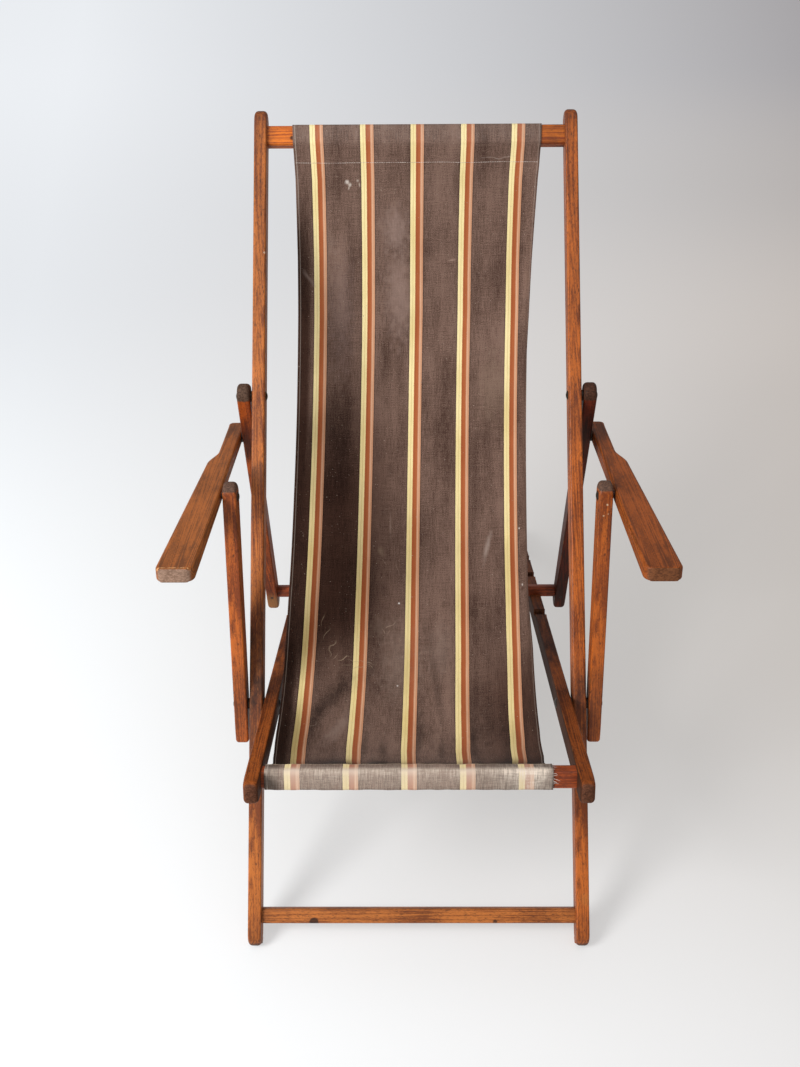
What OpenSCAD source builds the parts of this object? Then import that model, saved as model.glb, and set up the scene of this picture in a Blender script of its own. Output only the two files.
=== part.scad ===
// Folding deck chair: three hinged wooden frames, two arms on posts, and a canvas sling.
// All sizes are in millimetres. In a front view X runs to the right. Y runs to the back and Z up.
// The feet stand on Z = 0, and the origin is under the middle of the chair.

/* [Overall] */
// Width over the long rails
frame_width = 560; // [520:1:640]
// Slope of the long rails above the floor, in degrees
long_angle = 50; // [49:0.1:51]
// Slope of the seat rails, down to the back, in degrees
seat_slope = 18; // [17.5:0.1:18.5]
// Slope of the support rails below the horizontal, in degrees
support_slope = 75; // [74:0.1:76]

/* [Timber] */
// Depth of every rail and post, seen from the side
rail_depth = 36; // [34:0.5:38]
// Thickness of every rail and post
rail_thickness = 22; // [20:0.5:25]
// Rounding of the long edges
edge_round = 3; // [1:0.5:4]
// Gap between rails that turn past each other
lane_gap = 4; // [3.8:0.1:5]
// How far each foot is cut flat where it stands
foot_flat = 0.8; // [0.4:0.1:1.5]

/* [Long frame] */
// Foot to top, between the centres of the rounded ends
long_reach = 1385; // [1375:1:1400]
// Foot centre to the seat pivot, along the rail
seat_pivot_at = 378; // [370:1:385]
// Foot centre to the support pivot, along the rail
support_pivot_at = 900; // [890:1:910]
// Foot centre to the top rail
top_rail_at = 1357; // [1345:1:1362]
// Height of the top rail, along the long rails
top_rail_height = 35; // [30:1:38]
// Thickness of the top rail
top_rail_thickness = 22; // [18:1:24]
// Foot centre to the foot stretcher
stretcher_at = 31; // [26:1:40]
// Height of the foot stretcher, along the long rails
stretcher_height = 24; // [20:1:28]
// Thickness of the foot stretcher
stretcher_thickness = 20; // [16:1:24]

/* [Seat frame] */
// Seat pivot to the front rail
front_rail_at = 255; // [245:1:265]
// Seat pivot to the front tips of the seat rails
seat_front = 308; // [300:1:315]
// Rounding of those tips
tip_round = 10; // [6:1:14]
// Height of the front rail
front_rail_height = 29; // [26:1:32]
// Depth of the front rail, along the seat
front_rail_depth = 24; // [20:1:28]
// Rear foot centre to the rear stretcher
rear_stretcher_in = 70; // [60:1:90]
// Height of the rear stretcher
rear_stretcher_height = 24; // [20:1:28]
// Thickness of the rear stretcher
rear_stretcher_thickness = 20; // [16:1:24]
// Distance from one notch to the next
notch_pitch = 112; // [105:1:118]
// Width of a notch
notch_width = 29; // [27:0.5:31]
// Depth of a notch
notch_depth = 8; // [7:0.5:9]
// Notches in each seat rail
notch_count = 4; // [2:1:4]

/* [Support frame] */
// Support pivot to the top tips of the support rails
support_top = 23; // [20:1:26]
// Crossbar centre to the lower tips
support_tail = 44; // [38:1:48]
// Rounding of the lower tips
tail_round = 14; // [8:1:16]
// Height of the crossbar
crossbar_height = 22; // [20:0.5:24]
// Width of the crossbar, along the seat
crossbar_width = 22; // [20:0.5:24]
// Rounding of the crossbar's edges
crossbar_round = 6; // [3:0.5:8]

/* [Arms] */
// Support pivot to the rear arm pivot, down the support rail
arm_pivot_at = 100; // [97:1:103]
// Rear arm pivot to the post pivot, along the arm
arm_link = 266; // [264:1:269]
// Seat pivot to the post's upper pivot
post_link = 364; // [361:1:367]
// Rear arm pivot to the front edge of the arm
arm_front = 542; // [530:1:555]
// Rear arm pivot to the rear edge of the arm
arm_rear = 47; // [40:1:52]
// Thickness of the arm board
arm_thickness = 22; // [20:0.5:24]
// Width of the arm behind its shoulder
arm_narrow = 27; // [26:1:30]
// Width of the arm just before its shoulder
arm_middle = 40; // [36:1:44]
// Width of the arm at its front
arm_wide = 55; // [50:1:58]
// Rear arm pivot to the middle of the shoulder
shoulder_at = 122; // [112:1:132]
// Length of the shoulder curve
shoulder_length = 56; // [44:1:64]
// Rounding of the arm's corners seen from above
arm_corner = 9; // [5:1:12]
// Post past its lower pivot
post_tail = 66; // [58:1:74]
// Post past its upper pivot
post_top = 24; // [20:1:28]
// Rounding of the post's lower tip
post_round = 6; // [3:1:10]

/* [Pivots] */
// Diameter of the bolts
bolt_diameter = 8; // [6:0.5:9]
// Diameter of the domed heads
head_diameter = 17; // [14:0.5:18]
// Height of the domed heads
head_height = 3; // [2.4:0.1:3.2]
// Diameter of the washers
washer_diameter = 18; // [15:0.5:20]
// Depth of the screws in the arms
screw_depth = 20; // [16:1:22]
// Free play around a bolt that a rail turns on, on the radius
turn_play = 0.2; // [0.1:0.05:0.3]
// Free play around a bolt or tenon that stays put, on the radius
fit_play = 0.1; // [0.05:0.05:0.15]
// Free play beside a washer
side_play = 0.2; // [0.1:0.05:0.3]
// Free play under the head of a bolt that a rail turns on
head_play = 0.1; // [0.05:0.05:0.15]

/* [Joinery] */
// Diameter of the round tenons
tenon_diameter = 14; // [12:0.5:15]
// Length of the round tenons
tenon_length = 14; // [12:0.5:16]
// Diameter of the nails that hold the crossbar
nail_diameter = 3; // [2.5:0.5:4]
// Diameter of the nail heads
nail_head = 6; // [5:0.5:7]
// Length of the nails
nail_length = 26; // [24:1:28]

/* [Canvas] */
// Width of the canvas
canvas_width = 433; // [420:1:445]
// Thickness of the canvas
canvas_thickness = 1.5; // [1.2:0.1:1.8]
// Space between the canvas and the rails it wraps
canvas_clear = 0.4; // [0.3:0.1:0.6]
// Direction in which the canvas leaves the top rail, in degrees
back_lean = -93; // [-95:0.5:-92]
// How long the canvas keeps that direction
back_pull = 640; // [620:1:650]
// Direction in which the canvas leaves the front rail, in degrees
seat_dip = -50; // [-52:0.5:-48]
// How long the canvas keeps that direction
seat_pull = 355; // [345:1:365]
// Length of the hems behind the loops
hem_length = 64; // [50:1:70]

/* [Hidden] */
$fn = 64;
eps = 0.01;
half_depth = rail_depth/2;
bolt_r = bolt_diameter/2;
tenon_r = tenon_diameter/2;

// Directions and products in the side view, where a point is [Y, Z].
function along(a) = [cos(a), sin(a)];
function across(a) = [-sin(a), cos(a)];
function dot(a, b) = a[0]*b[0] + a[1]*b[1];

// Lanes across the width, from the middle out.
long_out = frame_width/2;
long_in = long_out - rail_thickness;
seat_out = long_in - lane_gap;
seat_in = seat_out - rail_thickness;
side_in = long_out + lane_gap;
side_out = side_in + rail_thickness;
arm_in = side_out + lane_gap;

// Pivots measured from the foot centre, before the origin is moved to the middle of the chair.
foot_z = half_depth - foot_flat;
seat_pivot0 = [0, foot_z] + seat_pivot_at*along(long_angle);
support_pivot0 = [0, foot_z] + support_pivot_at*along(long_angle);
seat_reach = (seat_pivot0[1] - foot_z)/sin(seat_slope);
front_y = seat_pivot0[0] - (seat_front - tip_round)*cos(seat_slope)
  - (half_depth - tip_round)*sin(seat_slope) - tip_round;
rear_y = seat_pivot0[0] + seat_reach*cos(seat_slope) + half_depth;
shift = [-(front_y + rear_y)/2, 0];
foot = [0, foot_z] + shift;
seat_pivot = seat_pivot0 + shift;
support_pivot = support_pivot0 + shift;

// The crossbar rests on the floor of the second notch and against its rear wall.
bar_height = half_depth + crossbar_height/2 - notch_depth + fit_play;
support_reach = (dot(support_pivot - seat_pivot, across(-seat_slope)) - bar_height)
  /-dot(along(-support_slope), across(-seat_slope));
crossbar = support_pivot + support_reach*along(-support_slope);
bar_at = dot(crossbar - seat_pivot, along(-seat_slope));
second_notch = bar_at + crossbar_width/2 + turn_play - notch_width/2;

// The post's upper pivot closes the four links on each side.
arm_pivot = support_pivot + arm_pivot_at*along(-support_slope);
link_gap = arm_pivot - seat_pivot;
link_span = norm(link_gap);
link_foot = (post_link*post_link - arm_link*arm_link + link_span*link_span)/(2*link_span);
link_rise = sqrt(post_link*post_link - link_foot*link_foot);
post_pivot = seat_pivot + link_foot*link_gap/link_span
  + link_rise*[-link_gap[1], link_gap[0]]/link_span;
post_angle = atan2(post_pivot[1] - seat_pivot[1], post_pivot[0] - seat_pivot[0]);
arm_rise = atan2(post_pivot[1] - arm_pivot[1], arm_pivot[0] - post_pivot[0]);
shoulder_start = shoulder_at - shoulder_length/2;
shoulder_end = shoulder_at + shoulder_length/2;

// Moves its children to a point of the side view and turns them there, with Y along the member.
module member(p, a) {
  translate([0, p[0], p[1]]) rotate([a, 0, 0]) children();
}

// Mirrors its children to the other side when side is -1.
module on_side(side) {
  if (side < 0) {
    mirror([1, 0, 0]) children();
  } else {
    children();
  }
}

// A rectangle with round corners, with its own radius at each end of its first direction.
module round_slab(x0, x1, d, r0, r1) {
  translate([x0 + r0, -d/2]) square([x1 - x0 - r0 - r1, d]);
  if (d > 2*r0 + eps) {
    translate([x0, r0 - d/2]) square([r0 + eps, d - 2*r0]);
  }
  if (d > 2*r1 + eps) {
    translate([x1 - r1 - eps, r1 - d/2]) square([r1 + eps, d - 2*r1]);
  }
  for (s = [-1, 1]) {
    translate([x0 + r0, s*(d/2 - r0)]) circle(r = r0);
    translate([x1 - r1, s*(d/2 - r1)]) circle(r = r1);
  }
}

// A bar along Y from y0 to y1, w wide in X and d deep in Z, with round edges and round tips.
module rail(w, d, y0, y1, r0, r1, edge = edge_round) {
  intersection() {
    translate([0, y1, 0]) rotate([90, 0, 0]) linear_extrude(y1 - y0) round_slab(-w/2, w/2, d, edge, edge);
    rotate([90, 0, 90]) translate([0, 0, -w/2]) linear_extrude(w) round_slab(y0, y1, d, r0, r1);
  }
}

// A rail in its lane, with the lane's inner face at x.
module rail_at(x, y0, y1, r0, r1) {
  translate([x + rail_thickness/2, 0, 0]) rail(rail_thickness, rail_depth, y0, y1, r0, r1);
}

// A cylinder along X from x0 to x1.
module bar_x(x0, x1, r) {
  translate([x0, 0, 0]) rotate([0, 90, 0]) cylinder(r = r, h = x1 - x0);
}

// A crosspiece between faces at x, with a round tenon at each end.
module crosspiece(x, w, d, r) {
  rotate([90, 0, 90]) translate([0, 0, -x]) linear_extrude(2*x) round_slab(-w/2, w/2, d, r, r);
  bar_x(-x - tenon_length, x + tenon_length, tenon_r);
}

// The blind hole for a tenon that enters a rail at x.
module mortise(x) {
  bar_x(x - eps, x + tenon_length + 0.5, tenon_r + fit_play);
}

// Everything at or above the floor.
module above_floor() {
  intersection() {
    children();
    translate([-1000, -1500, 0]) cube([2000, 3000, 2000]);
  }
}

// A low domed head that rises from x towards the middle.
module dome(x) {
  translate([x, 0, 0]) rotate([0, -90, 0]) rotate_extrude() intersection() {
    translate([0, head_height - dome_r]) circle(r = dome_r);
    square([head_diameter/2, head_height]);
  }
}
dome_r = (head_diameter*head_diameter/4 + head_height*head_height)/(2*head_height);

// A bolt with a head at each end, holding everything between x0 and x1.
module rivet(x0, x1) {
  bar_x(x0 - head_play - eps, x1 + head_play + eps, bolt_r);
  dome(x0 - head_play);
  mirror([1, 0, 0]) dome(-x1 - head_play);
}

// A washer that starts on the face at x and leaves free play on its far side.
module washer(x, dir = 1) {
  difference() {
    bar_x(x + (dir > 0 ? 0 : side_play), x + lane_gap - (dir > 0 ? side_play : 0), washer_diameter/2);
    bar_x(x - 1, x + lane_gap + 1, bolt_r + fit_play);
  }
}

module long_rail(side) {
  color("#A8663A") on_side(side) above_floor() member(foot, long_angle) difference() {
    rail_at(long_in, -half_depth, long_reach + half_depth, half_depth, half_depth);
    translate([0, seat_pivot_at, 0]) bar_x(long_in - 1, long_out + 1, bolt_r + fit_play);
    translate([0, support_pivot_at, 0]) bar_x(long_in - 1, long_out + 1, bolt_r + fit_play);
    translate([0, top_rail_at, 0]) mortise(long_in);
    translate([0, stretcher_at, 0]) mortise(long_in);
  }
}

module long_rail_left() {
  long_rail(-1);
}

module long_rail_right() {
  long_rail(1);
}

module top_rail() {
  color("#C86A1C") member(foot + top_rail_at*along(long_angle), long_angle)
    crosspiece(long_in, top_rail_height, top_rail_thickness, 5);
}

module foot_stretcher() {
  color("#A8663A") member(foot + stretcher_at*along(long_angle), long_angle)
    crosspiece(long_in, stretcher_height, stretcher_thickness, 4);
}

module seat_rail(side) {
  color("#9A5A35") on_side(side) above_floor() member(seat_pivot, -seat_slope) difference() {
    rail_at(seat_in, -seat_front, seat_reach + half_depth, tip_round, half_depth);
    bar_x(seat_in - 1, seat_out + 1, bolt_r + turn_play);
    translate([0, -front_rail_at, 0]) mortise(seat_in);
    translate([0, seat_reach - rear_stretcher_in, 0]) mortise(seat_in);
    for (i = [0:notch_count - 1]) {
      translate([seat_in - 1, second_notch + (i - 1)*notch_pitch - notch_width/2, half_depth - notch_depth])
        cube([rail_thickness + 2, notch_width, notch_depth + 1]);
    }
  }
}

module seat_rail_left() {
  seat_rail(-1);
}

module seat_rail_right() {
  seat_rail(1);
}

module front_rail() {
  color("#8A4A2C") member(seat_pivot - front_rail_at*along(-seat_slope), -seat_slope)
    crosspiece(seat_in, front_rail_depth, front_rail_height, 5);
}

module rear_stretcher() {
  color("#8A4A2C") member(seat_pivot + (seat_reach - rear_stretcher_in)*along(-seat_slope), -seat_slope)
    crosspiece(seat_in, rear_stretcher_thickness, rear_stretcher_height, 4);
}

// The crossbar's axis in the support rail's own directions.
module at_crossbar() {
  translate([0, support_reach, 0]) children();
}

// A nail's place in the support rail: through the front face into the tenon.
module nail_space(r, head_r, deep) {
  at_crossbar() translate([side_in + rail_thickness/2, 0, 0]) {
    translate([0, 0, -half_depth - eps]) cylinder(r = r, h = deep);
    translate([0, 0, -half_depth - 1]) cylinder(r = head_r, h = 2);
  }
}

module support_rail(side) {
  color("#A86038") on_side(side) member(support_pivot, -support_slope) difference() {
    rail_at(side_in, -support_top, support_reach + support_tail, half_depth, tail_round);
    bar_x(side_in - 1, side_out + 1, bolt_r + turn_play);
    translate([0, arm_pivot_at, 0]) bar_x(side_in - 1, side_out + 1, bolt_r + turn_play);
    at_crossbar() mortise(side_in);
    nail_space(nail_diameter/2 + fit_play, nail_head/2 + fit_play, nail_length + 0.5);
  }
}

module support_rail_left() {
  support_rail(-1);
}

module support_rail_right() {
  support_rail(1);
}

module support_crossbar() {
  color("#8A3A1C") difference() {
    member(crossbar, -seat_slope) crosspiece(side_in, crossbar_width, crossbar_height, crossbar_round);
    for (side = [-1, 1]) {
      on_side(side) member(support_pivot, -support_slope)
        nail_space(nail_diameter/2 + fit_play, nail_head/2 + fit_play, nail_length + 0.5);
    }
  }
}

module crossbar_nails() {
  color("#3A3430") for (side = [-1, 1]) {
    on_side(side) member(support_pivot, -support_slope) at_crossbar()
      translate([side_in + rail_thickness/2, 0, -half_depth]) {
        cylinder(r = nail_diameter/2, h = nail_length);
        cylinder(r = nail_head/2, h = 0.8);
      }
  }
}

// The arm's outline from above: X is out from its inner edge, Y is back from its rear pivot.
function shoulder(t) = arm_narrow + (arm_middle - arm_narrow)*(3*t*t - 2*t*t*t);
function corner(cx, cy, r, a0, a1) = [for (i = [0:6]) [cx, cy] + r*along(a0 + (a1 - a0)*i/6)];
arm_outline = concat(
  corner(4, arm_rear - 4, 4, 180, 90),
  corner(arm_narrow - arm_corner, arm_rear - arm_corner, arm_corner, 90, 0),
  [for (i = [0:12]) [shoulder(i/12), -shoulder_start - shoulder_length*i/12]],
  corner(arm_wide - arm_corner - 1, arm_corner - arm_front, arm_corner, 2, -90),
  corner(arm_corner - 2, arm_corner - 2 - arm_front, arm_corner - 2, -90, -180)
);

module arm(side) {
  color("#9A5A35") on_side(side) member(arm_pivot, -arm_rise) difference() {
    intersection() {
      translate([arm_in, 0, -arm_thickness/2]) linear_extrude(arm_thickness) polygon(arm_outline);
      translate([arm_in, arm_rear + 1, 0]) rotate([90, 0, 0]) linear_extrude(arm_front + arm_rear + 2)
        round_slab(0, arm_wide + 10, arm_thickness, edge_round, edge_round);
    }
    bar_x(arm_in - 1, arm_in + screw_depth + 0.5, bolt_r + fit_play);
    translate([0, -arm_link, 0]) bar_x(arm_in - 1, arm_in + screw_depth + 0.5, bolt_r + fit_play);
  }
}

module arm_left() {
  arm(-1);
}

module arm_right() {
  arm(1);
}

module arm_post(side) {
  color("#A0582C") on_side(side) member(seat_pivot, post_angle) difference() {
    rail_at(side_in, -post_tail, post_link + post_top, post_round, half_depth);
    bar_x(side_in - 1, side_out + 1, bolt_r + turn_play);
    translate([0, post_link, 0]) bar_x(side_in - 1, side_out + 1, bolt_r + fit_play);
  }
}

module arm_post_left() {
  arm_post(-1);
}

module arm_post_right() {
  arm_post(1);
}

module seat_pivot_bolts() {
  color("#2C2A28") for (side = [-1, 1]) {
    on_side(side) member(seat_pivot, 0) rivet(seat_in, side_out);
  }
}

module seat_pivot_washers() {
  color("#3A3836") for (side = [-1, 1]) {
    on_side(side) member(seat_pivot, 0) {
      washer(seat_out, -1);
      washer(long_out);
    }
  }
}

module support_pivot_bolts() {
  color("#2C2A28") for (side = [-1, 1]) {
    on_side(side) member(support_pivot, 0) rivet(long_in, side_out);
  }
}

module support_pivot_washers() {
  color("#3A3836") for (side = [-1, 1]) {
    on_side(side) member(support_pivot, 0) washer(long_out);
  }
}

// The rear screw has its head on the support rail. The front one is the arm's half of the post pivot.
module arm_screws(side) {
  color("#2C2A28") on_side(side) {
    member(arm_pivot, 0) {
      bar_x(side_in - head_play - eps, arm_in + screw_depth, bolt_r);
      dome(side_in - head_play);
    }
    member(post_pivot, 0) bar_x(side_out + lane_gap/2 + turn_play, arm_in + screw_depth, bolt_r);
  }
}

module arm_screws_left() {
  arm_screws(-1);
}

module arm_screws_right() {
  arm_screws(1);
}

module arm_washers(side) {
  color("#3A3836") on_side(side) member(arm_pivot, 0) washer(side_out, -1);
}

module arm_washers_left() {
  arm_washers(-1);
}

module arm_washers_right() {
  arm_washers(1);
}

// The post's half of its upper pivot.
module post_bolt(side) {
  color("#2C2A28") on_side(side) member(post_pivot, 0) {
    bar_x(side_in - eps, side_out + lane_gap/2 - turn_play, bolt_r);
    dome(side_in);
  }
}

module post_bolt_left() {
  post_bolt(-1);
}

module post_bolt_right() {
  post_bolt(1);
}

// The canvas's middle line in the side view. A loop starts at a hem's end and goes round a rail.
loop_off = canvas_clear + canvas_thickness/2;
function turned(p, a) = p[0]*along(a) + p[1]*across(a);
function arc(c, r, a0, a1, n = 6) = [for (i = [0:n]) c + r*along(a0 + (a1 - a0)*i/n)];
top_c = foot + top_rail_at*along(long_angle);
top_x = top_rail_height/2 - 5;
top_z = top_rail_thickness/2 - 5;
top_r = 5 + loop_off;
front_c = seat_pivot - front_rail_at*along(-seat_slope);
front_x = front_rail_depth/2 - 5;
front_z = front_rail_height/2 - 5;
// Up the rear face, over the end, and down the front face to where the sling leaves it.
top_leave = back_lean - long_angle;
top_loop = [for (p = concat(
  arc([-top_x, -top_z], top_r, -105, -90, 2),
  arc([top_x, -top_z], top_r, -90, 0),
  arc([top_x, top_z], top_r, 0, 90),
  arc([-top_x, top_z], top_r, 90, 90 + (180 + top_leave), 3))) top_c + turned(p, long_angle)];
sling_start = top_loop[len(top_loop) - 1];
front_leave = 90 + seat_dip + seat_slope + 90;
front_loop = [for (p = concat(
  arc([front_x, front_z], top_r, 54, 90, 3),
  arc([-front_x, front_z], top_r, 90, 180),
  arc([-front_x, -front_z], top_r, 180, 270),
  arc([front_x, -front_z], top_r, 270, 300, 2))) front_c + turned(p, -seat_slope)];
sling_end = front_loop[0];
back_hold = sling_start + back_pull*along(back_lean);
seat_hold = sling_end + seat_pull*along(seat_dip);
function curve(t) = pow(1 - t, 3)*sling_start + 3*pow(1 - t, 2)*t*back_hold
  + 3*(1 - t)*t*t*seat_hold + pow(t, 3)*sling_end;
sling = [for (i = [1:31]) curve(i/32)];
// Each hem lies flat against the back of the sling, from where it meets it.
hem_off = canvas_thickness + 0.4;
function beside(i, j, t, off) = let(
  a = curve(i/32),
  b = curve(j/32),
  d = (b - a)/norm(b - a)) a + (b - a)*t + off*[-d[1], d[0]];
top_hem = [beside(0, 1, hem_length/62, hem_off), beside(0, 1, 0.5, hem_off)];
front_hem = [beside(31, 30, 0.05, -hem_off), beside(31, 30, 0.85, -hem_off)];
canvas_line = concat(top_hem, top_loop, sling, front_loop, front_hem);
function side_of(i) = let(
  a = canvas_line[max(i - 1, 0)],
  b = canvas_line[min(i + 1, len(canvas_line) - 1)],
  d = (b - a)/norm(b - a)) [-d[1], d[0]]*canvas_thickness/2;
canvas_edge = concat(
  [for (i = [0:len(canvas_line) - 1]) canvas_line[i] + side_of(i)],
  [for (i = [len(canvas_line) - 1:-1:0]) canvas_line[i] - side_of(i)]);

module canvas() {
  color("#6B5A50") rotate([90, 0, 90]) translate([0, 0, -canvas_width/2])
    linear_extrude(canvas_width) polygon(canvas_edge);
}

long_rail_left();
long_rail_right();
top_rail();
foot_stretcher();
seat_rail_left();
seat_rail_right();
front_rail();
rear_stretcher();
support_rail_left();
support_rail_right();
support_crossbar();
crossbar_nails();
arm_left();
arm_right();
arm_post_left();
arm_post_right();
seat_pivot_bolts();
seat_pivot_washers();
support_pivot_bolts();
support_pivot_washers();
arm_screws_left();
arm_screws_right();
arm_washers_left();
arm_washers_right();
post_bolt_left();
post_bolt_right();
canvas();
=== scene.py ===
# %% [markdown]
# # A folding deck chair
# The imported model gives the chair's timber frames, bolts and plain canvas, all in metres and in place.
# This lesson dresses it: rounded and worn rails, old varnish, blackened steel and a striped sling that
# has been sat in for years. Everything is built around the frame, and nothing in the frame is moved.

# %% Load the chair
import math
import random
from functools import partial, partialmethod

import bpy
import bmesh
from mathutils import Matrix, Vector, noise


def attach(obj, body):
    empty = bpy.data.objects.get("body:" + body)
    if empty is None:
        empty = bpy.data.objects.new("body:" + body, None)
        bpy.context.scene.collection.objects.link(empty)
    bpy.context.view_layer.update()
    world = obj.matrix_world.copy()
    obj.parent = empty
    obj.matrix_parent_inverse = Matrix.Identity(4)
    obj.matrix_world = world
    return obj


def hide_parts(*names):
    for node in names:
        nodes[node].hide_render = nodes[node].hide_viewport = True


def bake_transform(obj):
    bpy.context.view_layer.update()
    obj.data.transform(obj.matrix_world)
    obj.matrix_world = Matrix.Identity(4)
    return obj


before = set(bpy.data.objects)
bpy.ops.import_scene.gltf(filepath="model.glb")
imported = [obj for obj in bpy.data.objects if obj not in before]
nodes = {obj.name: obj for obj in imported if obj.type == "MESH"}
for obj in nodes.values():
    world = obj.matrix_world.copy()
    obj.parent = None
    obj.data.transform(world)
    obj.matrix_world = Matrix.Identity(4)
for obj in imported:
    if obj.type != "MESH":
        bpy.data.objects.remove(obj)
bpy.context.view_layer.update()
mm = 0.001

# %% [markdown]
# ## The camera
# The photograph was taken from in front, a little above the top rail, looking down by about 35 degrees.
# The place and the lens come from fitting a camera to the chair's straight edges: the focal length is
# 1233.5 pixels on a picture 1067 pixels high, and the camera was turned and rolled by less than a degree.

# %% Set the camera
def photo_camera(place, pitch, turn, roll, focal, picture_height):
    """A camera that looks along Y and down by pitch, turned to the right and rolled, all in degrees.
    focal is its focal length in pixels."""
    lens = bpy.data.cameras.new("photo_camera")
    lens.sensor_width = 36
    lens.lens = focal * lens.sensor_width / picture_height
    camera = bpy.data.objects.new("photo_camera", lens)
    camera.matrix_world = Matrix.Translation(place)
    for angle, axis in ((-turn, "Z"), (90 - pitch, "X"), (-roll, "Z")):
        camera.matrix_world @= Matrix.Rotation(math.radians(angle), 4, axis)
    bpy.context.scene.collection.objects.link(camera)
    bpy.context.scene.camera = camera
    return camera


camera = photo_camera(place=(-0.0112, -1.8314, 1.7308), pitch=35.21, turn=-0.596, roll=0.514,
                      focal=1233.5, picture_height=1067)
print("lens:", round(camera.data.lens, 2), "mm")

# %% [markdown]
# ## The side view
# The chair is a set of bars that turn about pins across its width, so one side view holds its whole
# shape. These are the same sizes that the solids were made from, in millimetres, and the same sums.
# With them, each new piece lands exactly on the bar that it dresses.

# %% Sizes
rail_depth, rail_thickness, lane_gap, foot_flat = 36, 22, 4, 0.8
long_angle, seat_slope, support_slope = 50, -18, -75
long_end, seat_front, seat_tip = 1403, -308, 10
seat_pin_at, support_pin_at, arm_pin_at = 378, 900, 100
post_pins, arm_pins = 364, 266
top_rail_at, foot_stretcher_at, front_rail_at, rear_inset = 1357, 31, -255, 70
top_rail_size, front_rail_size = (35, 22), (24, 29)
bar_size, notch_width, notch_depth, notch_pitch = 22, 29, 8, 112
bar_room, notch_room = 0.1, 0.2
half_depth = rail_depth / 2

# Bars lie in lanes side by side, and each lane is named by the distance to its inner face.
long_out = 280
long_in = long_out - rail_thickness
seat_in = long_in - lane_gap - rail_thickness
side_in = long_out + lane_gap
arm_in = side_in + rail_thickness + lane_gap
print("lanes:", seat_in, long_in, side_in, arm_in)


# %% Pivots
def along(angle):
    return Vector((math.cos(math.radians(angle)), math.sin(math.radians(angle))))


def across(angle):
    return Vector((-math.sin(math.radians(angle)), math.cos(math.radians(angle))))


foot = Vector((0, half_depth - foot_flat))
seat_pivot = foot + seat_pin_at * along(long_angle)
support_pivot = foot + support_pin_at * along(long_angle)
seat_sin, seat_cos = math.sin(math.radians(seat_slope)), math.cos(math.radians(seat_slope))
seat_reach = (seat_pivot.y - foot.y) / -seat_sin
front_edge = seat_pivot.x + (seat_front + seat_tip) * seat_cos + (half_depth - seat_tip) * seat_sin - seat_tip
rear_edge = seat_pivot.x + seat_reach * seat_cos + half_depth
shift = Vector((-(front_edge + rear_edge) / 2, 0))
foot, seat_pivot, support_pivot = (p + shift for p in (foot, seat_pivot, support_pivot))

# The crossbar lies in the second notch, which says how long the support rail is.
bar_height = half_depth + bar_size / 2 - notch_depth + bar_room
support_reach = (((support_pivot - seat_pivot).dot(across(seat_slope)) - bar_height)
                 / -along(support_slope).dot(across(seat_slope)))
crossbar = support_pivot + support_reach * along(support_slope)
bar_at = (crossbar - seat_pivot).dot(along(seat_slope))
second_notch = bar_at + bar_size / 2 + notch_room - notch_width / 2

# The post's top pin is where two circles meet, one about each pin that it is tied to.
arm_pivot = support_pivot + arm_pin_at * along(support_slope)
link = arm_pivot - seat_pivot
link_foot = (post_pins ** 2 - arm_pins ** 2 + link.length ** 2) / (2 * link.length)
post_pivot = (seat_pivot + link_foot * link.normalized()
              + math.sqrt(post_pins ** 2 - link_foot ** 2) * Vector((-link.y, link.x)).normalized())
post_angle = math.degrees(math.atan2(post_pivot.y - seat_pivot.y, post_pivot.x - seat_pivot.x))
arm_slope = -math.degrees(math.atan2(post_pivot.y - arm_pivot.y, arm_pivot.x - post_pivot.x))
print("foot", foot, "seat pivot", seat_pivot, "post angle", round(post_angle, 2))

# %% [markdown]
# ## One helper for nodes
# Every finish here is a small network of nodes, and one function adds them all. Five kinds come up again
# and again, so a table gives them a short name and puts their inputs in order. Any other node takes
# its inputs by name. What the function gives back can be used in sums, where Python's own signs add
# Math nodes: a * 0.5 + b is two of them. Colours are written as the sRGB codes that a paint chart
# gives, and one function turns them to the linear values that Blender reckons in.

# %% Colours and signals
def linear(code):
    """An sRGB code such as #A8663A as linear red, green, blue and alpha."""
    parts = [int(code[i:i + 2], 16) / 255 for i in (1, 3, 5)]
    return tuple(c / 12.92 if c <= 0.04045 else ((c + 0.055) / 1.055) ** 2.4 for c in parts) + (1.0,)


class Signal:
    """What a node gives. Signs on it add Math nodes, and signal["Normal"] is the node's other output."""

    def __init__(self, node, output=0):
        self.node, self.output = node, output

    def __getitem__(self, output):
        return Signal(self.node, output)

    def math(self, operation, other=0.0):
        return add(self.node.id_data, "ShaderNodeMath", {0: self, 1: other}, operation=operation)


# Python calls these for a + b, a - b, a * b, a / b, a % b, a < b and abs(a).
for sign, operation in {"add": "ADD", "sub": "SUBTRACT", "mul": "MULTIPLY", "truediv": "DIVIDE",
                        "mod": "MODULO", "lt": "LESS_THAN", "abs": "ABSOLUTE"}.items():
    setattr(Signal, f"__{sign}__", partialmethod(Signal.math, operation))

print("rust stripe in linear:", [round(c, 3) for c in linear("#B0643C")])

# %% Adding nodes
# Short name: Blender's name, the inputs in order, the output that is used, and the settings.
KINDS = {
    "noise": ("ShaderNodeTexNoise", ("Vector", "Scale", "Detail", "Roughness"), "Fac", {}),
    "fade": ("ShaderNodeMapRange", ("Value", "From Min", "From Max", "To Min", "To Max"), 0,
             {"interpolation_type": "SMOOTHSTEP"}),
    "mix": ("ShaderNodeMix", (0, 6, 7), 2, {"data_type": "RGBA"}),
    "stretch": ("ShaderNodeMapping", ("Vector", "Scale", "Location"), 0, {}),
    "distance": ("ShaderNodeVectorMath", (0, 1), "Value", {"operation": "DISTANCE"}),
}


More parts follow.
